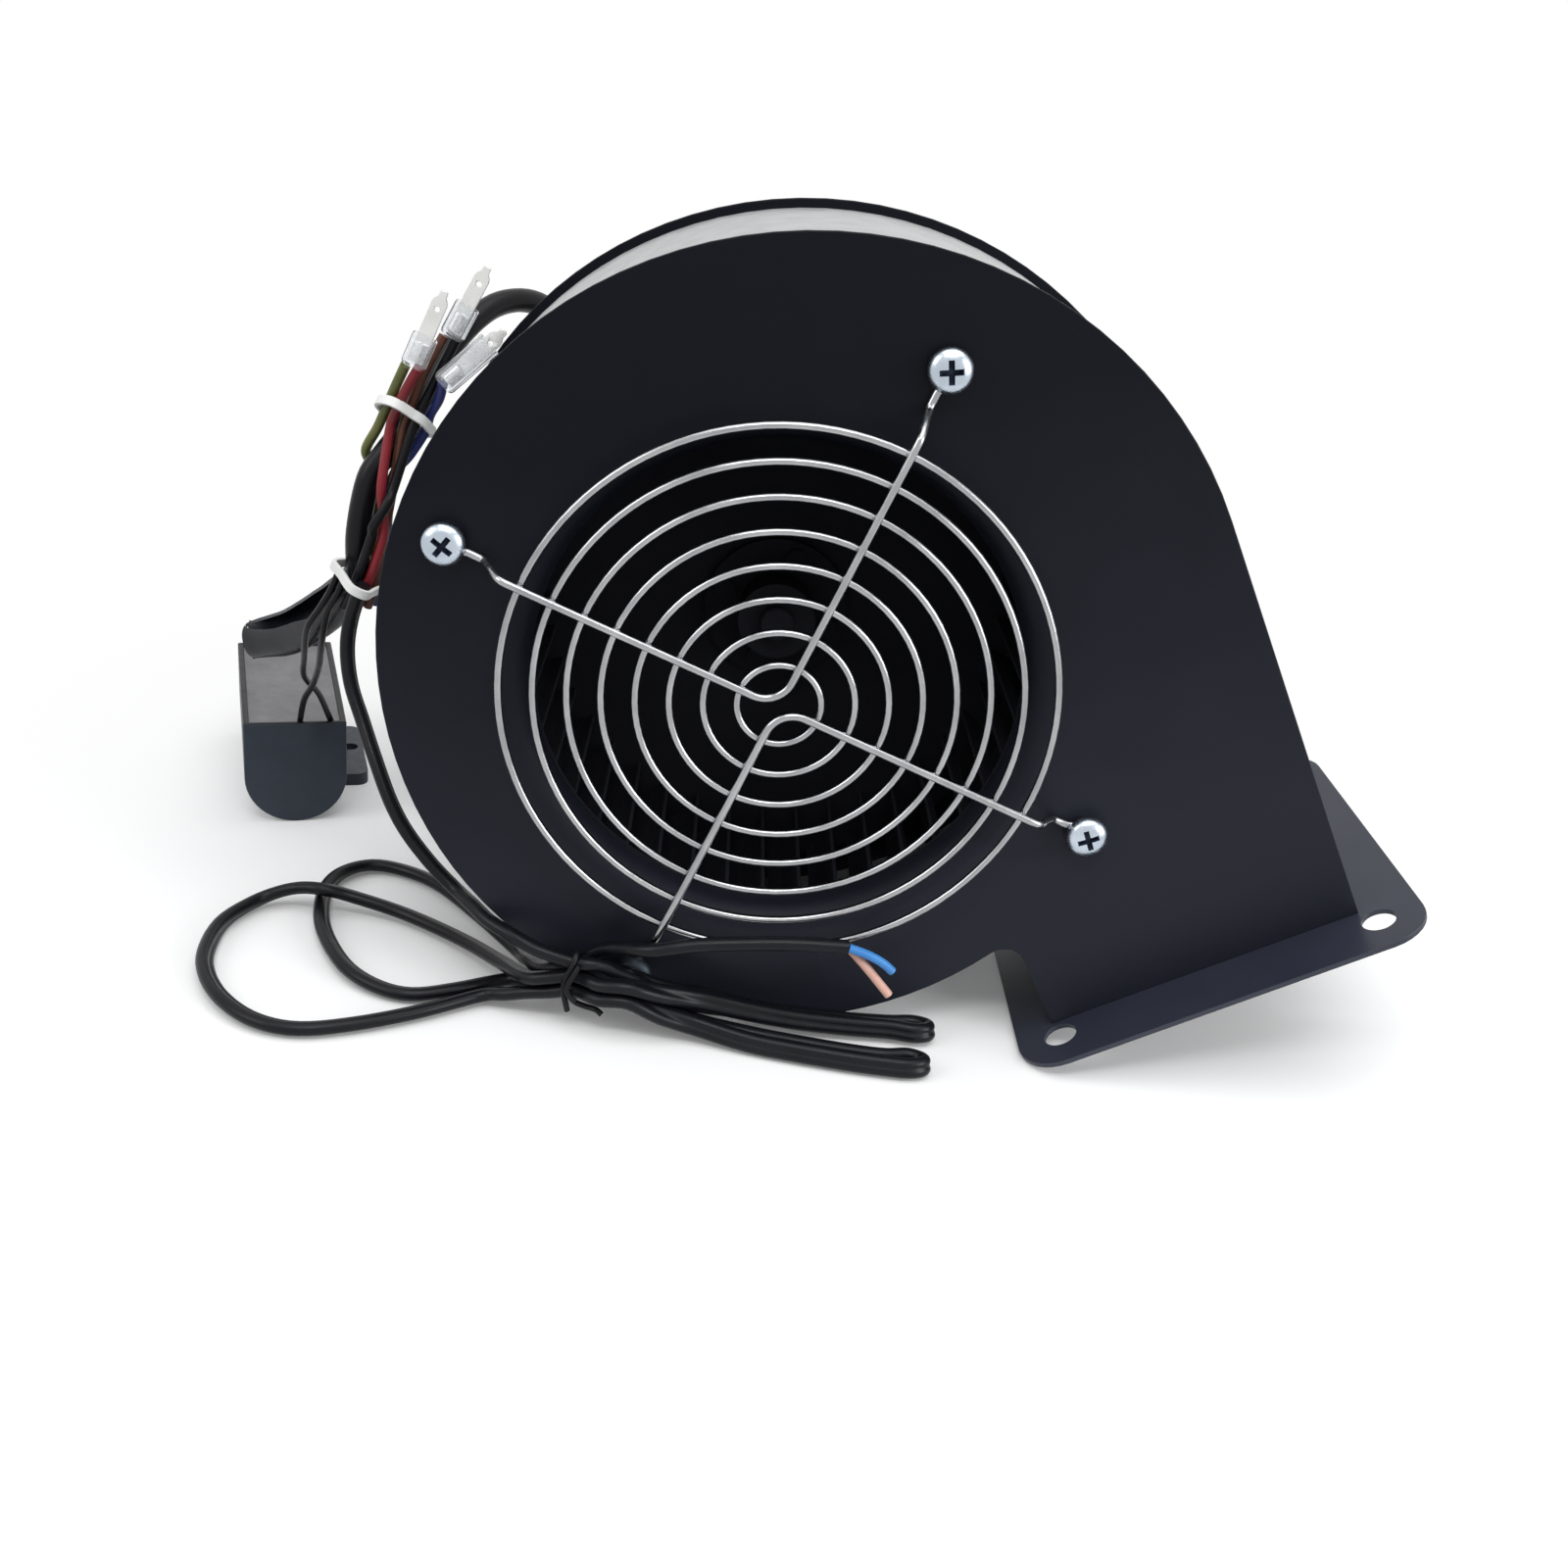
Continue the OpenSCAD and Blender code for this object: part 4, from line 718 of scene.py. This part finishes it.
def outlet_flange():
    """Square flange round the outlet, its corners rounded, with a hole near each."""
    obj = start("outlet_flange_plate", bpy.ops.mesh.primitive_plane_add, size=FLANGE_SIDE,
                location=FLANGE_MIDDLE * MM)
    bpy.ops.mesh.bevel(offset=FLANGE_CORNER, segments=8, affect="VERTICES")
    bpy.ops.mesh.delete(type="ONLY_FACE")
    bpy.ops.mesh.primitive_plane_add(size=1, location=OUTLET_MIDDLE * MM)
    bpy.ops.transform.resize(value=OUTLET_SIZE, center_override=OUTLET_MIDDLE * MM)
    bpy.ops.mesh.delete(type="ONLY_FACE")
    for at in FLANGE_HOLES:
        hole(FLANGE_HOLE_R, at, 28, flat=True)
    fill_in()
    face_towards(obj, (0, 0, 1))
    bpy.ops.mesh.dissolve_limited(angle_limit=math.radians(1))
    as_sheet(obj, PLATE_T, PLATE_EDGE)
    # the flange takes the lit copy of the black coat as painted light
    stood(obj, PLATE_SMOOTH, flange_coat_painted_light, "black_coat", "outlet_flange")


# Wire guard, in the fan's own frame too
RINGS, RING_FIRST, RING_STEP, RING_Y, RING_WIRE_R = 8, 8.6, 6.94, -7, 0.8 * MM
SPOKE_D, SPOKE_Y, BEND_R, EYE_R, EYE_Y = 1.8 * MM, -8.4, 6, 3.1, -0.9
SPOKE_STEP = [(30, SPOKE_Y), (58.5, SPOKE_Y), (60.4, -8.3), (61.6, -7.7), (63.4, -4.7), (65.2, -1.75), (66.2, -1.02),
              (67.6, EYE_Y), (69.1, EYE_Y)]
SCREW_PROFILE = [(2, 9), (2, 0), (4.15, 0), (4.42, -0.2), (4.5, -0.75), (4.42, -1.35), (4.1, -1.95), (3.5, -2.5),
                 (2.6, -2.85), (1.4, -2.98), (0, -3)]
# PAINTED_SHADOW_SCREW is the screw that gets the painted shadow
SCREW_Y, SCREW_TURNS, PAINTED_SHADOW_SCREW = -1.8, (20, 65, 38, 5), 2


def guard_rings():
    """Rings of round wire, each one a circle turned about the fan's axis."""
    for k in range(RINGS):
        wire = {"vertices": 14, "radius": RING_WIRE_R,
                "location": mm(RING_FIRST + RING_STEP * k, RING_Y, 0)}
        if k == 0:
            obj = start("guard_ring_wires", bpy.ops.mesh.primitive_circle_add, **wire)
        else:
            bpy.ops.mesh.primitive_circle_add(**wire)
        turn_out((0, 0, 0), 360, 48 + 8 * k)
    weld()
    done()
    stood(obj, 60, zinc_wire, "zinc_wire", "guard_rings")


def spoke_leg(turn, side):
    """Half of a spoke, from the middle of its bend out and round its eye."""
    out = Vector((math.cos(math.radians(turn)), 0, math.sin(math.radians(turn))))
    across = Vector((-out.z, 0, out.x)) * side
    bend = (out + across) * BEND_R
    bend_turns = [math.radians(45 * (1 - k / 6)) for k in range(7)]
    eye_turns = [math.radians(12 + 12 * k) for k in range(25)]
    line = [bend - (across * math.cos(a) + out * math.sin(a)) * BEND_R + Vector((0, SPOKE_Y, 0)) for a in bend_turns]
    line += [out * r + Vector((0, y, 0)) for r, y in SPOKE_STEP]
    line += [out * SCREW_CIRCLE - (out * math.cos(a) + across * math.sin(a)) * EYE_R + Vector((0, EYE_Y, 0))
             for a in eye_turns]
    return line


def guard_spokes():
    wires = []
    for turn in (SCREW_TURN, SCREW_TURN + 180):
        line = list(reversed(spoke_leg(turn, 1))) + spoke_leg(turn + 90, -1)[1:]
        wires.append(as_mesh(strand("guard_spoke", [q * MM for q in line], SPOKE_D)))
    obj = joined(wires, "guard_spoke_wires")
    stood(obj, 50, zinc_wire, "zinc_wire", "guard_spokes")


def pan_screw():
    """One cross-head screw with its head towards -Y: a profile turned about its axis, and a cut recess."""
    obj = start("guard_screw", bpy.ops.mesh.primitive_plane_add, size=0.001)
    bpy.ops.mesh.merge(type="CENTER")
    last = (0, 9)
    bpy.ops.transform.translate(value=mm(*last, 0))
    for r, y in SCREW_PROFILE:
        push(mm(r - last[0], y - last[1], 0))
        last = (r, y)
    take_all()
    turn_out((0, 0, 0), 360, 32)
    weld()
    done()
    tool = start("recess_tool", bpy.ops.mesh.primitive_cube_add, size=1)
    bpy.ops.transform.resize(value=mm(5.2, 2, 1.25))
    bpy.ops.transform.translate(value=mm(0, -2.4, 0))
    choose(tool, "VERT", lambda at, v: at.y > -2 * MM)
    bpy.ops.transform.resize(value=(0.62, 1, 0.7), center_override=mm(0, -1.4, 0))
    done()
    cross = copy_of(tool, "recess_tool_across")
    place(cross, seat((0, 0, 0), 90))
    for t in (tool, cross):
        modify(obj, "BOOLEAN", object=t, operation="DIFFERENCE", solver="EXACT")
        bpy.data.objects.remove(t)
    smooth(obj, 32)
    obj.data.materials.append(zinc_screw)

    def in_recess(at):
        r = math.hypot(at.x, at.z)
        return r < 2.7 * MM and -2.9 * MM + 0.14 * r < at.y < -1.2 * MM

    # painted shade on the faces inside the cross recess
    second_finish(obj, painted_recess_shade, in_recess)
    return obj


def guard_screws():
    """Four screws, each turned its own way; the one behind the cord gets a dark copy of the zinc as painted shadow."""
    model = pan_screw()
    pieces = []
    for k, (x, z) in enumerate(ring_places(SCREW_CIRCLE, SCREW_TURN)):
        screw = copy_of(model, "guard_screw_%d" % (k + 1))
        place(screw, STAND @ seat((x, SCREW_Y, z), SCREW_TURNS[k]))
        # painted shadow on the screw behind the cord
        if k == PAINTED_SHADOW_SCREW:
            screw.data.materials[0] = painted_shadow_zinc
        pieces.append(screw)
    bpy.data.objects.remove(model)
    obj = joined(pieces, "guard_cross_screws")
    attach(obj, "casing")
    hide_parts("guard_screws")


# Pieces on the wiring
STRAP_WIDE, STRAP_T, LOCK_SIZE = 2.2, 0.9 * MM, (4.4, 2.8, 3.6)
# Terminals: place, lean in degrees, length of the blade, length of its sleeve
SPADES = [((-114.3, -12, 132.2), 22, 17.5, 7), ((-107.3, -6, 138.1), 26, 17, 7.5),
          ((-108.2, -10, 128.6), 45.6, 18, 13.5)]
BLADE_T, CRIMP_Z = 0.8 * MM, 3.4


def between(table, s):
    """Reads a value from a table of (place, value) rows."""
    for (s0, v0), (s1, v1) in zip(table, table[1:]):
        if s <= s1:
            return v0 + (v1 - v0) * max(0, s - s0) / (s1 - s0)
    return table[-1][1]


def outer_sleeve():
    """Flattened outer sleeve, slit along its upper near side; its two walls come together at its end."""
    # Along the sleeve from 0 to 1: the slit's two edges in degrees, its height in millimetres, and how far
    # its upper, lower and far sides reach
    near_rim = [(0, 60), (0.06, 10), (0.12, -16), (0.38, -16), (0.5, -5), (0.75, 8), (0.88, 20), (0.95, 34), (1, 50)]
    far_rim = [(0, 94), (0.75, 92), (0.88, 84), (0.95, 71), (1, 53)]
    height = [(0, 5), (0.4, 5.7), (0.75, 5), (1, 4.1)]
    over = [(0, 0.9), (0.5, 0.88), (0.9, 1), (1, 1)]
    under = [(0, 1), (0.2, 1), (0.6, 1.24), (1, 1.24)]
    behind = [(0, 1), (0.72, 1), (0.84, 0.75), (0.93, 0.2), (1, -0.45)]
    line = eased([(-128.2, -5, 80.4), (-132.4, -0.4, 75.6), (-137, 4.5, 70.6), (-143.4, 10.8, 64.8),
                  (-149.6, 16.8, 59.4), (-155, 21.4, 55.8), (-160, 25, 53)], 5)
    last, points = len(line) - 1, 40
    near = Vector((-0.056, -0.908, 0.415))
    rings = []
    for k, middle in enumerate(line):
        s = k / last
        along = (line[min(k + 1, last)] - line[max(k - 1, 0)]).normalized()
        front = (near - along * near.dot(along)).normalized()
        rise = along.cross(front)
        rise = rise if rise.z > 0 else -rise
        first, final = between(far_rim, s), 360 + between(near_rim, s)
        thin, tall = 5 - 1.4 * math.sin(s * math.pi / 2), between(height, s)
        ring = []
        for m in range(points):
            turn = math.radians(first + (final - first) * m / (points - 1))
            lift = math.sin(turn) * tall * between(over if math.sin(turn) > 0 else under, s)
            depth = math.cos(turn) * thin * (1 if math.cos(turn) > 0 else between(behind, s))
            crease = 1 + 0.03 * s * math.sin(11 * s + 3 * turn)
            ring.append(middle + (front * depth + rise * lift) * crease * MM)
        rings.append(ring)
    obj = drawn_tube("outer_sleeve", rings)
    lips = [(a[0] + a[-1] + b[0] + b[-1]) / 4 for a, b in zip(rings, rings[1:])]
    choose(obj, "FACE", lambda at, face: any((at - q).length < 1e-6 for q in lips))
    bpy.ops.mesh.delete(type="FACE")
    outwards()
    done()
    wear(obj, boot_pvc, "black_pvc", "harness_boot")
    # the rim faces take the lighter finish: cut edge and painted highlight
    obj.data.materials.append(cut_edge_and_highlight)
    modify(obj, "SOLIDIFY", thickness=0.8 * MM, offset=-1, material_offset_rim=1)
    soften(obj, 0.2 * MM)
    smooth(obj, 50)


def ring_through(points, steps=4):
    """A smooth closed line through given points in millimetres."""
    around = points[-1:] + points + points[:2]
    return eased(around, steps)[steps:steps * (len(points) + 1)]


def tie_strap(name, at, inside):
    """A nylon strap drawn tight round the bundle, with its lock behind."""
    obj = drawn_loop(name, ring_through([(x, y, -STRAP_WIDE / 2) for x, y in inside]))
    take_all()
    push(mm(0, 0, STRAP_WIDE))
    outwards()
    done()
    modify(obj, "SOLIDIFY", thickness=STRAP_T, offset=1, use_even_offset=True)
    soften(obj, 0.22 * MM)
    back = max(y for x, y in inside)
    lock = start(name + "_lock", bpy.ops.mesh.primitive_cube_add, size=1)
    bpy.ops.transform.resize(value=Vector(LOCK_SIZE) * MM)
    bpy.ops.transform.translate(value=mm(0, back + 1.5, 0))
    for up, rim, drop in ((1, 0.7, 0.8), (-1, 0.8, 1.1)):
        choose(lock, "FACE", lambda at, face: at.z * up > 1.7 * MM)
        bpy.ops.mesh.inset(thickness=rim * MM)
        push(mm(0, 0, -drop))
    done()
    soften(lock, 0.25 * MM)
    obj = joined([obj, lock], name)
    smooth(obj, 40)
    place(obj, at)
    return obj


def cable_ties():
    """Two nylon ties, each strap shaped by the wires that it holds."""
    upper = seat((-117.2, -3.4, 118.5), -32, "X") @ seat((0, 0, 0), 18)
    lower = seat((-126.6, -8.6, 82.9), 24)
    obj = joined([
        tie_strap("tie_strap_upper", upper, [
            (-3.4, 3.4), (-2, 5), (0, 5.4), (2.2, 4.4), (4.4, 2.4), (5.8, 0.6), (5.4, -2), (4.4, -5.2), (2.4, -6.8),
            (0, -9), (-2.2, -9.1), (-4.4, -7.2), (-5.4, -4.4), (-4.6, -0.4)]),
        tie_strap("tie_strap_lower", lower, [
            (-5.8, 1.2), (-5.2, -0.4), (-3.4, -2.2), (-0.2, -6.8), (1.6, -7.5), (3.4, -6.8), (4, -4), (5, 0.2),
            (5.4, 3.6), (4.6, 6.4), (2.8, 7.8), (0.8, 7.5), (-2, 6.4), (-4, 4.4)])], "nylon_tie_straps")
    wear(obj, white_nylon, "white_nylon", "cable_ties")


def spade_blade(name, length):
    """A flat blade with a narrowed tip and a hole, and its crimp round the lead's end."""
    half = [(1.7, 1), (1.7, length - 3), (1.5, length - 2.2), (0.9, length - 1.4), (0.8, length - 0.3), (0.5, length)]
    outline = [(-1.7, 1)] + half + [(-x, z) for x, z in reversed(half[1:])]
    front = -BLADE_T / MM / 2
    blade = drawn_loop(name, [mm(x, front, z) for x, z in outline])
    hole(0.6, (0, front, length - 4.2), 16)
    fill_in()
    face_towards(blade, (0, -1, 0))
    as_sheet(blade, BLADE_T, 0.14 * MM)
    crimp_at = mm(0, 0, CRIMP_Z)
    crimp = start(name + "_crimp", bpy.ops.mesh.primitive_cylinder_add, vertices=24, radius=1.3 * MM, depth=4.2 * MM,
                  location=crimp_at)
    bpy.ops.transform.resize(value=(1.22, 0.95, 1))
    choose(crimp, "FACE", lambda at, face: abs(face.normal.z) > 0.9)
    bpy.ops.mesh.inset(thickness=0.3 * MM)
    bpy.ops.transform.resize(value=(0.9, 0.9, 0.86), center_override=crimp_at)
    done()
    soften(crimp, 0.2 * MM)
    obj = joined([blade, crimp], name)
    smooth(obj, 40)
    return obj


def spade_terminals():
    pieces = []
    for k, (at, lean, length, _) in enumerate(SPADES):
        piece = spade_blade("spade_%d" % (k + 1), length)
        place(piece, seat(at, lean))
        pieces.append(piece)
    wear(joined(pieces, "spade_blades"), tinned_brass, "tinned_brass", "spade_terminals")


def rounded(value):
    """Draws a circle's sine or cosine out towards a square with round corners."""
    return math.copysign(abs(value) ** 0.6, value)


def terminal_sleeves():
    """Clear soft sleeves, rounded, open at the blade and drawn in at the lead."""
    wide, deep = 2.7, 1.9
    turns = [math.tau * m / 32 for m in range(32)]
    pieces = []
    for k, (at, lean, _, cover) in enumerate(SPADES):
        steps = ((0, 0.8), (0.25, 0.93), (0.8, 1), (cover * 0.5, 1), (cover - 0.6, 1), (cover, 1))
        piece = drawn_tube("clear_sleeve_%d" % (k + 1), [
            [mm(rounded(math.cos(a)) * wide * w, rounded(math.sin(a)) * deep * w, z) for a in turns]
            for z, w in steps])
        outwards()
        as_sheet(piece, 0.45 * MM, 0.12 * MM)
        smooth(piece, 50)
        place(piece, seat(at, lean))
        pieces.append(piece)
    wear(joined(pieces, "clear_terminal_sleeves"), clear_sleeve, "clear_sleeve", "terminal_sleeves")


# Capacitor, in its own frame with its end face to the front
CAPACITOR = seat((-151.5, 30, 0), 17, "Z")
CASE_R, CASE_TOP, CASE_LONG, CASE_WALL, CASE_POT = 13, 28.5, 60, 1.5 * MM, 6
EAR_T, EAR_ROOT, EAR_OUT, EAR_ENDS, EAR_CORNER_R = 3.5, 5.5, 17.5, (24, 52), 3
EAR_HOLE, EAR_HOLE_R = (16.75, 40, EAR_T), 2.25
RESIN_AT, RESIN_SIZE = (0, 0.03, 0.0251), (0.0229, 0.0569, 0.0052)


def capacitor_case():
    """Round-bottomed case, open at the top, with a fixing ear on its right."""
    bottom = [(CASE_R * math.cos(a), CASE_R + CASE_R * math.sin(a))
              for a in [math.radians(180 + 7.5 * k) for k in range(25)]]
    outline = [(-CASE_R, CASE_TOP)] + bottom + [(CASE_R, CASE_TOP)]
    body = drawn_loop("capacitor_body", [mm(x, 0, z) for x, z in outline])
    take_all()
    bpy.ops.mesh.edge_face_add()
    push(mm(0, CASE_LONG, 0))
    outwards()
    choose(body, "FACE", lambda at, face: at.z > (CASE_TOP - 0.1) * MM)
    bpy.ops.mesh.inset(thickness=CASE_WALL)
    push(mm(0, 0, -CASE_POT))
    done()
    soften(body, 0.45 * MM, 3)
    near, far = EAR_ENDS
    places = [(EAR_ROOT, 21.2)]
    for y, first in ((near, 270), (far, 0)):
        places += [(EAR_OUT + EAR_CORNER_R * math.cos(a), y + EAR_CORNER_R * math.sin(a))
                   for a in [math.radians(first + 90 * k / 6) for k in range(7)]]
    places.append((EAR_ROOT, 54.8))
    ear = drawn_loop("capacitor_ear", [mm(x, y, EAR_T) for x, y in places])
    hole(EAR_HOLE_R, EAR_HOLE, 28, flat=True)
    fill_in()
    face_towards(ear, (0, 0, 1))
    as_sheet(ear, EAR_T * MM, 0.35 * MM)
    obj = joined([body, ear], "capacitor_shell_case")
    smooth(obj, 40)
    place(obj, CAPACITOR)
    wear(obj, capacitor_shell, "capacitor_shell", "capacitor_case")
    second_finish(obj, black_pvc, lambda at: at.z > 28.2 * MM)


def capacitor_fill():
    """Cast resin with a raised edge where it has crept up the wall."""
    obj = start("capacitor_resin", bpy.ops.mesh.primitive_cube_add, size=1, location=RESIN_AT)
    bpy.ops.transform.resize(value=RESIN_SIZE, center_override=RESIN_AT)
    choose(obj, "FACE", lambda at, face: face.normal.z > 0.9)
    for width, drop in ((0.5, 0.28), (0.8, 0.2), (1.4, 0.1)):
        bpy.ops.mesh.inset(thickness=width * MM)
        bpy.ops.transform.translate(value=mm(0, 0, -drop))
    done()
    soften(obj, 0.1 * MM)
    smooth(obj, 40)
    place(obj, CAPACITOR)
    wear(obj, epoxy, "epoxy", "capacitor_fill")


for make in (front_plate, scroll_band, rear_plate, outlet_flange, guard_rings, guard_spokes, guard_screws, outer_sleeve,
             cable_ties, spade_terminals, terminal_sleeves, capacitor_case, capacitor_fill):
    make()


# Finishes of the CAD nodes, those that stay and those that a piece above replaces
CAD_FINISHES = [
    (impeller_coat, "impeller_blades impeller_front_ring"),
    # painted shade: the hub, rivets, grub screw, mount screws and shaft take the near-black finish
    (inner_black_and_painted_shade, "impeller_back_disc impeller_hub hub_rivets hub_grub_screw motor_mount_screws motor_shaft"),
    (cover_alloy, "motor_front_cover motor_rear_cover"), (shell_coat, "motor_shell"), (zinc_screw, "motor_bolts"),
    (lamination, "stator_core rotor_core"), (copper, "stator_windings"), (cast_bars, "rotor_end_rings"),
    (ground_steel, "bearing_outer_rings bearing_inner_rings bearing_balls"), (rubber, "cable_grommet"),
    (boot_pvc, "harness_boot"), (white_nylon, "cable_ties"), (tinned_brass, "spade_terminals"),
    (clear_sleeve, "terminal_sleeves"), (capacitor_shell, "capacitor_case"), (epoxy, "capacitor_fill"),
    (black_pvc, "cord_tie")]
finish_of = {name: finish for finish, names in CAD_FINISHES for name in names.split()}
for name, obj in nodes.items():
    obj.data.materials.clear()
    obj.data.materials.append(finish_of.get(name, black_coat))


# Floor, light and background
PAPER, PAPER_GLOW = (0.80, 0.805, 0.81, 1), 0.1
FADE_FROM, FADE_TO = 0.13, 0.31
WORLD_LIGHT, WORLD_SEEN = 0.45, 1.0


def joined_rays(tree):
    """1 for rays from the camera, from gloss and through clear pieces, 0 for the rest."""
    path = tree.nodes.new("ShaderNodeLightPath")
    total = path.outputs["Is Camera Ray"]
    for ray in ("Is Glossy Ray", "Is Transmission Ray"):
        larger = tree.nodes.new("ShaderNodeMath")
        larger.operation = "MAXIMUM"
        tree.links.new(total, larger.inputs[0])
        tree.links.new(path.outputs[ray], larger.inputs[1])
        total = larger.outputs[0]
    return total


def floor():
    """White floor that keeps the shadow near the object and fades into the background farther out."""
    obj = start("floor", bpy.ops.mesh.primitive_plane_add, size=6)
    done()
    material = bpy.data.materials.new("white_floor")
    material.use_nodes = True
    tree = material.node_tree
    tree.nodes.clear()
    add, link = tree.nodes.new, tree.links.new
    paper = set_inputs(add("ShaderNodeBsdfDiffuse"), Color=PAPER)
    level = add("ShaderNodeMath")
    level.operation = "MULTIPLY"
    level.inputs[1].default_value = PAPER_GLOW
    link(joined_rays(tree), level.inputs[0])
    glow = add("ShaderNodeEmission")
    link(level.outputs[0], glow.inputs["Strength"])
    near = add("ShaderNodeAddShader")
    link(paper.outputs[0], near.inputs[0])
    link(glow.outputs[0], near.inputs[1])
    far = add("ShaderNodeEmission")
    link(joined_rays(tree), far.inputs["Strength"])
    distance = add("ShaderNodeVectorMath")
    distance.operation = "LENGTH"
    link(add("ShaderNodeTexCoord").outputs["Object"], distance.inputs[0])
    fade = set_inputs(add("ShaderNodeMapRange"), From_Min=FADE_FROM, From_Max=FADE_TO)
    fade.interpolation_type = "SMOOTHSTEP"
    link(distance.outputs["Value"], fade.inputs["Value"])
    both = add("ShaderNodeMixShader")
    for k, socket in enumerate((fade.outputs["Result"], near.outputs[0], far.outputs[0])):
        link(socket, both.inputs[k])
    link(both.outputs[0], add("ShaderNodeOutputMaterial").inputs["Surface"])
    obj.data.materials.append(material)


def lamp(name, at, aim, size, power):
    data = bpy.data.lights.new(name, "AREA")
    data.shape = "RECTANGLE"
    data.size, data.size_y = size
    data.energy = power
    obj = bpy.data.objects.new(name, data)
    scene.collection.objects.link(obj)
    obj.location = at
    obj.rotation_euler = (Vector(aim) - Vector(at)).to_track_quat("-Z", "Y").to_euler()


def background():
    """White for the rays that see it, and a weaker light on everything else."""
    world = bpy.data.worlds.new("studio")
    scene.world = world
    world.use_nodes = True
    tree = world.node_tree
    light = set_inputs(tree.nodes["Background"], Color=(1, 1, 1, 1))
    level = set_inputs(tree.nodes.new("ShaderNodeMapRange"), To_Min=WORLD_LIGHT, To_Max=WORLD_SEEN)
    tree.links.new(joined_rays(tree), level.inputs["Value"])
    tree.links.new(level.outputs["Result"], light.inputs["Strength"])


floor()
lamp("overhead_softbox", at=(0.05, -0.15, 0.85), aim=(-0.02, 0, 0.05), size=(0.9, 0.9), power=4.5)
lamp("left_softbox", at=(-0.75, -0.35, 0.55), aim=(-0.05, 0, 0.06), size=(0.5, 0.5), power=2.2)
lamp("right_softbox", at=(0.6, -0.4, 0.28), aim=(0.06, 0, 0.05), size=(0.4, 0.4), power=3.2)
lamp("strip_light", at=(-0.05, -0.55, 0.75), aim=(-0.04, 0, 0.05), size=(0.5, 0.08), power=1.6)
background()
scene.view_settings.view_transform = "Standard"
